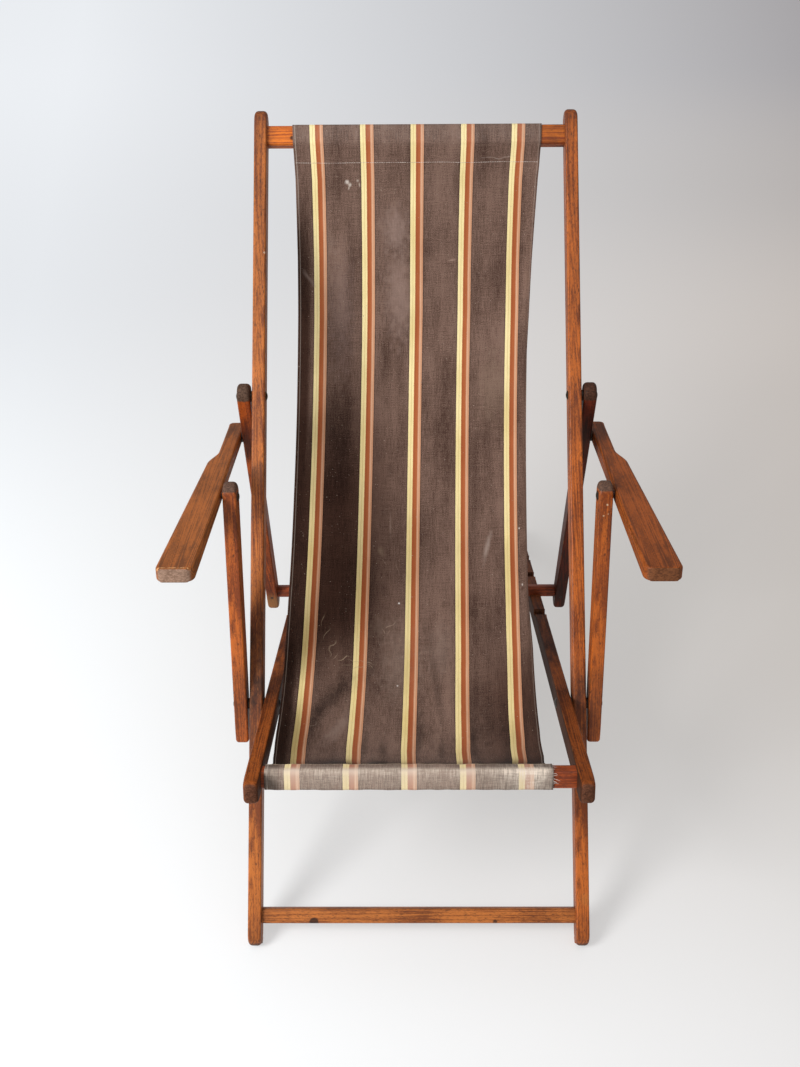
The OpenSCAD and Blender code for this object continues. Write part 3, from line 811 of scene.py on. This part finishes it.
def curled(inward, width, lost):
    """An edge rolled on an arc: how far in it ends up, and how far it stands out. inward is the
    distance from the edge, width the rolled band and lost what the roll takes off the cloth's width."""
    if inward >= width or lost <= 0:
        return 0.0, 0.0
    bend = math.sqrt(6.8 * lost / width)
    turned = bend * (1 - inward / width)
    radius = width / bend
    return (width - inward) - radius * math.sin(turned), radius * (1 - math.cos(turned))


def ripple(x, s, size, seed):
    return noise.noise(Vector((x / size, s / (size * 3.2), seed)))


# Folds that slant inwards at the bottom: height, number of waves, middle across and down, reach across
# and down, where the slant starts across, and how far it runs down and across.
SLANTS = ((3.5, 2.6, -110, 1010, 80, 130, -130, 90, 55), (3.1, 2.1, 125, 1000, 60, 150, 130, 70, -45))
BELLY, BELLY_REACH, GROOVE_AT = 20, 0.45, 24.5


def stand_off(x, s):
    """How far the cloth stands in front of its line, in mm, at x across and s down from the top rail."""
    free = smooth(s / 60) * smooth((SEAM_AT - s) / 40)
    out = -2.2 * math.exp(-((s - SEAM_AT) / 3.5) ** 2)
    if s > SEAM_AT:
        out += 0.9 * smooth((s - SEAM_AT) / 8) * smooth((SLING_LENGTH + 60 - s) / 10) * (
            0.5 + ripple(x, s * 0.6, 16, 12.7))
    if free == 0:
        return out
    half = CLOTH_WIDTH / 2
    near_top = smooth(1 - s / 190) * free
    near_front = smooth(1 - (SLING_LENGTH - s) / 300) * free
    out += 2.2 * near_top * ripple(x, s * 0.3, 34, 3.1)
    out += 9.0 * near_front * ripple(x, s * 0.22, 34, 8.4)
    # A shallow groove runs down beside each group of stripes, where the dyed threads pull tighter.
    beside = (x + half - STRIPE_START - GROOVE_AT) % STRIPE_PITCH
    out -= 2.0 * near_front * math.exp(-((min(beside, STRIPE_PITCH - beside) - 3) / 6) ** 2)
    out += 2.4 * free * noise.noise(Vector((x / 150, s / 210, 5.5)))
    for height, waves, at_x, at_s, wide, tall, start, run_s, run_x in SLANTS:
        slant = (s - 900) / run_s + (x - start) / run_x
        share = math.exp(-((x - at_x) / wide) ** 2 - ((s - at_s) / tall) ** 2)
        out += height * share * math.sin(slant * waves) * free
    belly = smooth(s / 420) * smooth((SLING_LENGTH - s) / 330)
    out -= BELLY * belly * (BELLY_REACH - (x / half) ** 2)
    return out


print("the middle bellies back by", round(-stand_off(0, SLING_LENGTH / 2), 1), "mm")

# %% Shape the cloth
def cloth_point(x, s, proud=0.0):
    """The place in metres of a point x mm from the cloth's middle and s mm down from the top rail."""
    i = 1
    while i < len(travelled) - 1 and travelled[i] < s:
        i += 1
    a, b = cloth_line[i - 1], cloth_line[i]
    t = (s - travelled[i - 1]) / (travelled[i] - travelled[i - 1])
    before = cloth_line[max(i - 2, 0)]
    after = cloth_line[min(i + 1, len(cloth_line) - 1)]
    way = (b - before).lerp(after - a, t).normalized()
    front = Vector((way.y, -way.x))
    half = CLOTH_WIDTH / 2
    right_in, right_out = curled(half - x, 34, between(CURL_RIGHT, s))
    left_in, left_out = curled(half + x, 24, between(CURL_LEFT, s))
    p = a.lerp(b, t) + front * (stand_off(x, s) + right_out + left_out + proud)
    across_by = between(DRIFT, s) + x * between(SPREAD, s) / CLOTH_WIDTH - right_in + left_in
    # Beside the left seat rail, the cloth keeps clear of the rail's inner face.
    if abs((p - seat_pivot).dot(across(seat_slope))) < half_depth + 2:
        across_by = max(across_by, -seat_in + 1.5)
    return Vector((across_by, p.x, p.y)) * mm


def row_point(r, x):
    """A point of row r. The hems' rows lie on the back of the sling, so they follow its folds."""
    first = len(top_hem) + len(top_loop) - 1
    last = len(travelled) - len(front_hem)
    if r < len(top_hem):
        return cloth_point(x, travelled[first + HEM_START] + travelled[0] - travelled[r], -HEM_OFF)
    if r >= last:
        return cloth_point(x, travelled[first + HEM_END] + travelled[last] - travelled[r], -HEM_OFF)
    return cloth_point(x, travelled[r])


def make_cloth(columns=96):
    mesh = bpy.data.meshes.new("canvas_sling")
    work = bmesh.new()
    sheet = work.loops.layers.uv.new("cloth")
    rows = []
    for r in range(len(travelled)):
        across_row = (CLOTH_WIDTH * (c / columns - 0.5) for c in range(columns + 1))
        rows.append([work.verts.new(row_point(r, x)) for x in across_row])
    for r in range(len(rows) - 1):
        for c in range(columns):
            face = work.faces.new((rows[r][c], rows[r + 1][c], rows[r + 1][c + 1], rows[r][c + 1]))
            corners = ((c, r), (c, r + 1), (c + 1, r + 1), (c + 1, r))
            for loop, (cc, rr) in zip(face.loops, corners):
                loop[sheet].uv = (CLOTH_WIDTH * cc / columns * mm, travelled[rr] * mm)
    work.to_mesh(mesh)
    work.free()
    mesh.shade_smooth()
    cloth = bpy.data.objects.new("canvas_sling", mesh)
    bpy.context.scene.collection.objects.link(cloth)
    thick = cloth.modifiers.new("thickness", "SOLIDIFY")
    thick.thickness = CLOTH_THICKNESS * mm
    thick.offset = 0
    return plain(cloth)


canvas = make_cloth()
print("cloth faces:", len(canvas.data.polygons))

# %% [markdown]
# ## Striped cotton duck
# Duck is a plain weave with threads a little under a millimetre apart. Its stripes are dyed warp
# threads, so they run down the cloth: cream, rust and tan, five times over, 87.9 mm apart. They are
# worked out from the cloth's own map, in metres from its left edge, so they follow every fold. Years
# of use have greyed the ground in long streaks, rubbed the front roll pale and left small scuffs.
# Painted shade darkens the folds low on the seat, its left half and the cloth above the front seam,
# and a painted highlight lies along the roll.

# %% Marks of use and painted fold shade
# Each mark: mm from the left edge, mm down, half width, half length, turn in degrees, colour, strength.
# The darkest marks, #241812 to #2E211B low on the seat, are painted shade in its folds and creases.
MARKS = [
    (92, 66, 3.4, 4.2, -25, "#D0C6BC", 0.85), (97, 71, 3.0, 3.4, 20, "#C8BCB0", 0.80),
    (95, 77, 1.4, 4.0, -8, "#C4B8AC", 0.70), (111, 64, 2.6, 3.0, 10, "#C4B8AC", 0.75),
    (114, 71, 1.5, 5.0, 6, "#BCAEA0", 0.65), (179, 150, 26, 44, 4, "#A48C82", 0.42),
    (186, 270, 28, 90, 3, "#A48C82", 0.36), (80, 300, 26, 120, 0, "#84706A", 0.30),
    (200, 960, 40, 90, 0, "#8E7A6E", 0.38), (100, 1118, 13, 55, -20, "#8A766C", 0.42),
    (84, 1040, 15, 70, -26, "#241914", 0.60), (134, 985, 16, 50, -35, "#261A15", 0.45),
    (268, 930, 22, 60, 0, "#8A776C", 0.35), (262, 1010, 8, 70, 6, "#281B16", 0.45),
    (322, 1150, 8, 80, 2, "#241812", 0.65), (234, 1135, 9, 90, 0, "#241812", 0.55),
    (146, 1165, 7, 60, 0, "#241812", 0.50), (62, 1090, 9, 70, -10, "#241812", 0.50),
    (176, 1175, 7, 40, 0, "#241812", 0.45), (270, 1180, 8, 36, -3, "#241812", 0.40),
    (392, 1150, 9, 70, 3, "#241812", 0.35), (20, 235, 4, 18, 35, "#8C7A72", 0.50),
    (60, 170, 9, 22, 8, "#8A7468", 0.28), (282, 205, 7, 2.0, 8, "#B09484", 0.55),
    (360, 440, 34, 70, 0, "#84705F", 0.30), (350, 733, 4.6, 30, -13, "#A8988E", 0.50),
    (194, 838, 1.8, 2.0, 0, "#F6F2EC", 0.95), (412, 810, 1.6, 2.4, 0, "#CFC6BE", 0.75),
    (408, 700, 1.3, 1.8, 0, "#DDD4CC", 0.75), (195, 1004, 1.4, 2.0, 0, "#DDD6CE", 0.80),
    (176, 690, 2.0, 22, 0, "#8A766A", 0.45), (160, 740, 5, 9, 20, "#85725F", 0.40),
    (168, 885, 26, 26, 30, "#7A665A", 0.35), (72, 903, 0.9, 13, -14, "#A48E78", 0.55),
    (79, 924, 0.9, 12, -30, "#A48E78", 0.50), (75, 936, 0.8, 10, -20, "#A08A74", 0.45),
    (86, 943, 0.9, 11, -55, "#A48E78", 0.50), (100, 951, 0.9, 13, -78, "#AC967E", 0.60),
    (119, 957, 0.9, 15, 88, "#AC967E", 0.60), (137, 954, 0.9, 12, 68, "#A48E78", 0.50),
    (106, 966, 0.8, 12, -84, "#A48E78", 0.45), (129, 972, 0.8, 15, -70, "#A48E78", 0.50),
    (143, 964, 0.8, 10, 50, "#A08A74", 0.45), (64, 872, 0.9, 14, -12, "#A08A74", 0.45),
    (177, 882, 1.0, 12, -34, "#B09A86", 0.60), (170, 900, 0.9, 9, 40, "#A8927E", 0.50),
    (183, 894, 0.8, 9, -12, "#A48E78", 0.45), (190, 772, 0.8, 16, 10, "#9A8472", 0.35),
    (158, 760, 0.8, 9, 60, "#9A8472", 0.40), (314, 978, 1.0, 13, -8, "#B09A86", 0.55),
    (302, 950, 0.9, 13, -30, "#A8927E", 0.45), (296, 1004, 0.9, 15, 3, "#A8927E", 0.45),
    (350, 1062, 1.1, 36, -58, "#2E211B", 0.55), (56, 1104, 0.9, 16, -50, "#A89888", 0.40),
    (362, 24, 36, 1.2, 2, "#A6958A", 0.55),
]
print("marks:", len(MARKS))


# %% The dyed cloth
def dyed_cloth(node, u, v, tone, clouds, wobble):
    """The ground and its stripes before use, and a mask of the stripes."""
    ground = node("mix", node("fade", tone, 0.95, 1.43), "#3E2A22", "#8B7063")
    across_stripe = (u + wobble + (STRIPE_PITCH - STRIPE_START)) % STRIPE_PITCH
    for at in (CREAM + RUST + TAN + 0.7, STRIPE_PITCH - 0.7):
        line = node("fade", abs(across_stripe - at), 0.5, 1.3, 0.4, 0.0)
        ground = node("mix", line, ground, "#2E201A")
    # The dyes are fresher high up, and each stripe has a thread or two of a neighbouring shade.
    fresh = node("fade", clouds, 0.25, 0.6, 0.55, 1.0) * node("fade", v, 300, 900, 1.0, 0.75)
    cloth = ground
    for width, old, new, odd_at, odd, strength in (
            (CREAM + RUST + TAN, "#B07650", "#D29C7A", CREAM + RUST + 2.2, "#E6BEA0", 0.6),
            (CREAM + RUST, "#8E4626", "#B4663E", CREAM + 2.6, "#8A4426", 0.4),
            (CREAM, "#CDB064", "#FAE8AE", 5.2, "#C8AC6A", 0.45)):
        dye = node("mix", fresh, old, new)
        line = node("fade", abs(across_stripe - odd_at), 0.35, 1.0, strength, 0.0)
        dye = node("mix", line, dye, odd)
        cloth = node("mix", across_stripe < width, cloth, dye)
    return cloth, across_stripe < CREAM + RUST + TAN


print("stripes every", STRIPE_PITCH, "mm, with bands of", CREAM, RUST, TAN)


# %% Wear and painted shade on the cloth
def seat_wear_and_shade(node, u, v, striped):
    """How dark the cloth is from wear and painted shade: the seat, most of all on the left, the front and the
    edges.
    """
    # Painted shade as well as wear: the seat darkens towards the left, where the cupped cloth faces away from
    # the light.
    wear_and_shade = node("fade", v, 330, 640) * node("fade", node("fade", u, 262, 60), 0, 1, 0.06, 0.88)
    wear_and_shade *= node("fade", v, 860, 1060, 1.0, 0.22)
    wear_and_shade += node("fade", v, 860, 1040, 0.0, 0.80) * node("fade", u, 270, 400)
    # Grime and painted shade: a band above the front seam, where the cloth tucks into the roll.
    grime_and_seam_shade = node("fade", v, SEAM_AT - 110, SEAM_AT - 2) * node("fade", v, SEAM_AT + 6, SEAM_AT)
    wear_and_shade = (wear_and_shade + grime_and_seam_shade * 0.5).math("MINIMUM", 1) * node("fade", striped, 0, 1, 1.0, 0.16)
    # Painted shade on the left edge, which curls away from the light, and a darker line down the right edge.
    for inner, outer, high, low, least, most in (
            (30, 16, 60, 300, 0.1, 0.85), (CLOTH_WIDTH - 13, CLOTH_WIDTH - 6, 500, 850, 0.0, 0.5)):
        edge = node("fade", u, inner, outer) * node("fade", v, high, low, least, most)
        wear_and_shade = wear_and_shade.math("MAXIMUM", edge)
    return wear_and_shade


def rubbed_and_highlit_roll(node, u, v, striped, threads, weft):
    """How pale the front roll is, from rubbing and a painted highlight: threads stand out, most of all where
    it bends over the rail.
    """
    # Rubbing and a painted highlight: the band down the roll is brightest where it turns over the rail.
    down = node("ShaderNodeValToRGB", {0: node("fade", v, SEAM_AT, SEAM_AT + 70)})
    set_stops(down.node.color_ramp, ((0.0, 0.0), (0.04, 0.20), (0.14, 0.28), (0.32, 1.0), (0.50, 0.66),
                                     (0.90, 0.40)))
    worn_and_highlit = down * node("fade", u, 5, 60, 0.7, 1.0)
    worn_and_highlit *= node("fade", threads + weft * 0.5, 0.60, 0.94, 0.40, 1.0)
    worn_and_highlit *= node("fade", u, 320, 410, 0.90, 1.6)
    worn_and_highlit *= node("fade", u, 412, 430, 1.0, 0.6)
    return worn_and_highlit.math("MAXIMUM", down * striped * 0.82)


def with_marks(node, cloth, on, nap, striped, marks):
    """Adds the marks. Large ones spare the dyed stripes, and thin scratches wander."""
    sway = node("ShaderNodeTexNoise", {"Vector": on, "Scale": 0.035, "Detail": 1.0})["Color"]
    for operation, by in (("SUBTRACT", (0.5, 0.5, 0.5)), ("MULTIPLY", (34, 34, 0)), ("ADD", on)):
        sway = node("ShaderNodeVectorMath", {0: sway, 1: by}, operation=operation)
    tatter = drawn_out(node, on, (1, 0.6, 1), (4, 4, 0), 0.1, 4, 0.7)
    ragged = (nap - 0.5) * 1.2 + (tatter - 0.5) * 2.2
    for at_u, at_v, size_u, size_v, turn, colour, strength in marks:
        place = node("ShaderNodeMapping", {
            "Vector": sway if min(size_u, size_v) < 1.3 else on, "Location": (at_u, at_v, 0),
            "Rotation": (0, 0, math.radians(-turn)), "Scale": (size_u, size_v, 1)}, vector_type="TEXTURE")
        away = node("ShaderNodeVectorMath", {0: place}, operation="LENGTH")["Value"]
        share = node("fade", away + ragged, 0.0, 1.4, strength, 0.0)
        if size_u > 5:
            share *= node("fade", striped, 0, 1, 1.0, 0.35)
        cloth = node("mix", share, cloth, colour)
    return cloth


print("wear and marks are ready")

# %% Finish the cloth
def striped_duck(name, marks):
    material, node, shader = new_material(name)
    map_mm = node("stretch", node("ShaderNodeUVMap", uv_map="cloth"), (1000, 1000, 1000))
    split = node("ShaderNodeSeparateXYZ", {0: map_mm})
    u, v = split[0], split[1]
    streaks = partial(drawn_out, node, map_mm)

    # Fine streaks along the warp and weft, a felted nap, and wide slow clouds of wear.
    warp = streaks((1, 0.05, 1), (0, 0, 0), 0.8, 3, 0.7)
    slub = streaks((0.05, 1, 1), (9, 3, 0), 0.6, 2, 0.6)
    nap = streaks((1, 0.6, 1), (3, 8, 0), 0.85, 2, 0.7)
    clouds = streaks((1, 0.4, 1), (70, 10, 0), 0.016, 2, 0.5)
    faded = streaks((1, 0.04, 1), (31, 4, 0), 0.06, 3, 0.5)
    tone = warp * 0.62 + clouds * 0.45 + faded * 0.22 + nap * 0.85 + slub * 0.25
    wobble = (streaks((0.4, 1, 1), (0, 0, 0), 0.5, 2) - 0.5) * 0.7
    cloth, striped = dyed_cloth(node, u, v, tone, clouds, wobble)
    grime = node("fade", warp * 0.5 + nap * 0.5, 0.35, 0.62, 1.0, 0.84)
    grime = node("ShaderNodeCombineColor", {0: grime, 1: grime, 2: grime})
    cloth = node("mix", 1.0, cloth, grime, blend_type="MULTIPLY")
    wear_and_shade = seat_wear_and_shade(node, u, v, striped)
    cloth = node("mix", wear_and_shade, cloth, "#7A5C4C", blend_type="MULTIPLY")

    # Dust and lint lie on it in tiny pale specks.
    lint = node("fade", node("noise", map_mm, 0.33, 1, 0.5), 0.735, 0.77, 0.0, 0.75)
    cloth = node("mix", lint, cloth, "#A8988A")

    # The roll is rubbed pale under a painted highlight, the cloth above it is creased and darkened with
    # painted shade, and the head is a little bleached.
    threads = streaks((1, 0.07, 1), (2, 0, 5), 0.62, 4, 0.75)
    weft = streaks((0.12, 1, 1), (2, 7, 5), 0.5, 3, 0.7)
    pale = node("mix", node("fade", u, 320, 410), "#D0C0B0", "#DECFBF")
    cloth = node("mix", rubbed_and_highlit_roll(node, u, v, striped, threads, weft), cloth, pale)
    # Painted shade: the cloth just above the front seam is darkened where it creases into the roll.
    crease_shade = node("fade", v, SEAM_AT - 100, SEAM_AT - 30, 0.0, 0.8) * node("fade", tone, 0.9, 1.4, 1.2, 0.6)
    crease_shade *= node("fade", v, SEAM_AT + 1, SEAM_AT - 1)
    cloth = node("mix", crease_shade, cloth, "#4A3A32", blend_type="MULTIPLY")
    head = node("fade", v, 12, -16) * node("fade", threads, 0.4, 0.7, 0.06, 0.3)
    cloth = node("mix", head, cloth, "#988880")

    # Thin lines: the selvedges, and the worn ridge of thread along the front seam.
    for at, strength in ((4.2, 0.5), (CLOTH_WIDTH - 3.5, 0.25)):
        line = node("fade", abs(u + wobble - at), 0.4, 1.1, strength, 0.0)
        cloth = node("mix", line, cloth, "#AFA298")
    ridge = node("fade", abs(v + wobble * 4 - (SEAM_AT + 8)), 1.0, 2.6, 0.75, 0.0)
    ridge *= node("fade", weft, 0.4, 0.6, 0.25, 1.0)
    cloth = node("mix", ridge, cloth, "#C2AE90")
    cloth = with_marks(node, cloth, map_mm, nap, striped, marks)

    # Threads 1 mm and 1.3 mm apart, a little coarser than the real ones so that they show.
    weave = (u * (2 * math.pi / 1.0)).math("SINE") * (v * (2 * math.pi / 1.3)).math("SINE")
    height = weave * 0.25 + (warp + slub)
    bump = node("ShaderNodeBump", {"Strength": 0.5, "Distance": 0.3 * mm, "Height": height})
    give(shader, {"Base Color": cloth, "Normal": bump, "Roughness": 0.9, "Specular IOR Level": 0.12,
                  "Sheen Weight": 0.03, "Sheen Roughness": 0.5})
    return material


duck = striped_duck("striped_cotton_duck", MARKS)
canvas.data.materials.clear()
canvas.data.materials.append(duck)
print("cloth finish nodes:", len(duck.node_tree.nodes))

# %% [markdown]
# ## Stitches
# A line of pale thread holds the hem behind the sling, a hand's breadth below the head. A stitch is a
# small rounded bead of thread, and a row of them is what Geometry Nodes do well: the tree takes a
# path, spaces points along it, sets a bead on each and turns it along the path.

# %% A tree that sews
def sewing_tree():
    tree = bpy.data.node_groups.new("row_of_stitches", "GeometryNodeTree")
    ends = tree.interface
    ends.new_socket("Geometry", in_out="INPUT", socket_type="NodeSocketGeometry")
    for name, value in (("Pitch", 0.004), ("Stitch length", 0.0034), ("Thread", 0.0008)):
        ends.new_socket(name, in_out="INPUT", socket_type="NodeSocketFloat").default_value = value
    ends.new_socket("Finish", in_out="INPUT", socket_type="NodeSocketMaterial")
    ends.new_socket("Geometry", in_out="OUTPUT", socket_type="NodeSocketGeometry")
    node = partial(add, tree)
    given = node("NodeGroupInput")
    line = node("GeometryNodeMeshToCurve", {"Mesh": given["Geometry"]})
    points = node("GeometryNodeCurveToPoints", {"Curve": line, "Length": given["Pitch"]}, mode="LENGTH")
    bead = node("GeometryNodeMeshUVSphere", {"Segments": 8, "Rings": 6, "Radius": 0.5})
    size = node("ShaderNodeCombineXYZ", {0: given["Thread"], 1: given["Thread"], 2: given["Stitch length"]})
    row = node("GeometryNodeInstanceOnPoints", {"Points": points["Points"], "Instance": bead,
               "Rotation": points["Rotation"], "Scale": size})
    made = node("GeometryNodeRealizeInstances", {0: row})
    made = node("GeometryNodeSetMaterial", {"Geometry": made, "Material": given["Finish"]})
    node("NodeGroupOutput", {0: node("GeometryNodeSetShadeSmooth", {"Geometry": made})})
    return tree


sewing = sewing_tree()
print("sewing nodes:", len(sewing.nodes))


# %% Thread
def from_paths(name, paths, tree, **values):
    """Mesh lines, each a list of points, made into a plain mesh by a Geometry Nodes tree."""
    points, edges = [], []
    for path in paths:
        edges += [(len(points) + i, len(points) + i + 1) for i in range(len(path) - 1)]
        points += path
    mesh = bpy.data.meshes.new(name)
    mesh.from_pydata(points, edges, [])
    piece = bpy.data.objects.new(name, mesh)
    bpy.context.scene.collection.objects.link(piece)
    modifier = piece.modifiers.new("nodes", "NODES")
    modifier.node_group = tree
    for socket in tree.interface.items_tree:
        if socket.in_out == "INPUT" and socket.name in values:
            modifier[socket.identifier] = values[socket.name]
    return plain(piece)


def thread_finish():
    """Cotton thread: matt, with a little grey where dirt has got in."""
    material, node, shader = new_material("cotton_thread")
    soil = node("noise", node("ShaderNodeTexCoord")["Object"], 60, 3)
    colour = node("mix", node("fade", soil, 0.35, 0.65), "#9A8C84", "#D8CCC2")
    give(shader, {"Base Color": colour, "Roughness": 0.85})
    return material


def sewn(name, paths, body, pitch, stitch, thickness):
    """Rows of thread that ride on a body. The sizes are in mm."""
    row = from_paths(name, paths, sewing, Pitch=pitch * mm, Finish=thread,
                     **{"Stitch length": stitch * mm, "Thread": thickness * mm})
    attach(row, body)
    return row


thread = thread_finish()
HEM_AT, HEM_WANDER = 33, 1.1
for label, proud in (("front", 0.75), ("back", -2.7)):
    path = [cloth_point(x, HEM_AT + HEM_WANDER * noise.noise(Vector((x / 60, 0, 4))), proud)
            for x in range(-212, 213, 4)]
    sewn(f"hem_stitches_{label}", [path], "long_frame", 4, 3.7, 0.8)

# %% [markdown]
# The cut end of the front loop has frayed: short threads stand out of it. They are sewn by the same
# tree, with beads so close that they join into a thread.

# %% Fray the front loop
random.seed(7)
frays = []
for i in range(15):
    s = SLING_LENGTH - 4 + 3.6 * i
    start = cloth_point(CLOTH_WIDTH / 2 - 1, s)
    out = start - cloth_point(CLOTH_WIDTH / 2 - 9, s)
    out = out.normalized() + 0.8 * Vector([random.uniform(-1, 1) for _ in range(3)])
    reach, droop = random.uniform(2.5, 6.5) * mm, random.uniform(0, 2.5) * mm
    frays.append([start + out * reach * k / 6 - Vector((0, 0, droop * (k / 6) ** 2)) for k in range(7)])
sewn("frayed_threads", frays, "seat_frame", 0.9, 1.5, 0.55)
print("frayed threads:", len(frays))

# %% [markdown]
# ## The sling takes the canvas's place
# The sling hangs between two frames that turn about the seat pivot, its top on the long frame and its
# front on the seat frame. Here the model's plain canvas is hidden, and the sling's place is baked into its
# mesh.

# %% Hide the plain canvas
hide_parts("canvas")
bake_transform(canvas)

# %% [markdown]
# ## The studio
# The chair stands on a pale seamless floor. The light is broad and soft and comes from the left, so the
# floor turns from white on the left to a warm grey on the right and behind. The floor's colour holds
# that change, and the lamps stay even, so the chair's own colours look as they are written.

# %% Make the floor
CAMERA_SHARE = 0.53


def pale_floor():
    bpy.ops.mesh.primitive_plane_add(size=40, location=(0, 6, 0))
    floor = bpy.context.object
    floor.name = "studio_floor"
    material, node, shader = new_material("seamless_floor")
    place = node("ShaderNodeSeparateXYZ", {0: node("ShaderNodeNewGeometry")["Position"]})
    x, y = place[0], place[1]
    # White at the left, greyer to the right, and both darker to the back.
    share = (x / (y * 0.22 + 1.154) + 0.8) / 1.85
    left = node("mix", node("fade", y, -0.1, 2.2), "#FAFDFF", "#E8EBEF")
    right = "#E6E4E3"
    for close, far, shade in ((-1.0, 0.2, "#C6BEB7"), (0.3, 1.2, "#CDC4BD"),
                              (1.5, 3.2, "#B2ACA9"), (3.0, 5.0, "#A09D9F")):
        right = node("mix", node("fade", y, close, far), right, shade)
    colour = node("mix", share, left, right)
    give(shader, {"Base Color": colour, "Roughness": 0.8, "Specular IOR Level": 0.1})
    # The camera sees part of the floor's colour without its shading, which keeps the shadows faint.
    glow = node("ShaderNodeEmission", {"Color": colour, "Strength": node("fade", y, 0.2, 5.0, 1.06, 1.53)})
    ways = node("ShaderNodeLightPath")
    seen = ways["Is Camera Ray"].math("MAXIMUM", ways["Is Glossy Ray"])
    seen = seen.math("MAXIMUM", ways["Is Transmission Ray"])
    both = node("ShaderNodeMixShader", {0: seen * CAMERA_SHARE, 1: Signal(shader), 2: glow})
    give(material.node_tree.nodes["Material Output"], {"Surface": both})
    floor.data.materials.append(material)
    return floor


floor = pale_floor()
print("floor:", floor.name)


# %% Set the lights
def soft_light(name, place, target, size, power):
    lamp = bpy.data.lights.new(name, "AREA")
    lamp.shape, lamp.size, lamp.energy = "DISK", size, power
    made = bpy.data.objects.new(name, lamp)
    made.location = place
    made.rotation_mode = "QUATERNION"
    made.rotation_quaternion = (Vector(target) - Vector(place)).to_track_quat("-Z", "Y")
    bpy.context.scene.collection.objects.link(made)


soft_light("window", place=(-2.4, -2.1, 2.6), target=(0, 0, 0.5), size=1.6, power=125)
soft_light("ceiling", place=(-0.5, -0.8, 4.2), target=(0, 0, 0), size=4.5, power=40)
world = bpy.data.worlds.new("studio")
bpy.context.scene.world = world
world.use_nodes = True
seen = add(world.node_tree, "ShaderNodeLightPath")["Is Camera Ray"]
colour = add(world.node_tree, "mix", seen, (0.9, 0.9, 0.9, 1), "#D4D4D8")
give(world.node_tree.nodes["Background"], {"Color": colour, "Strength": 0.45})
bpy.context.scene.view_settings.view_transform = "Standard"
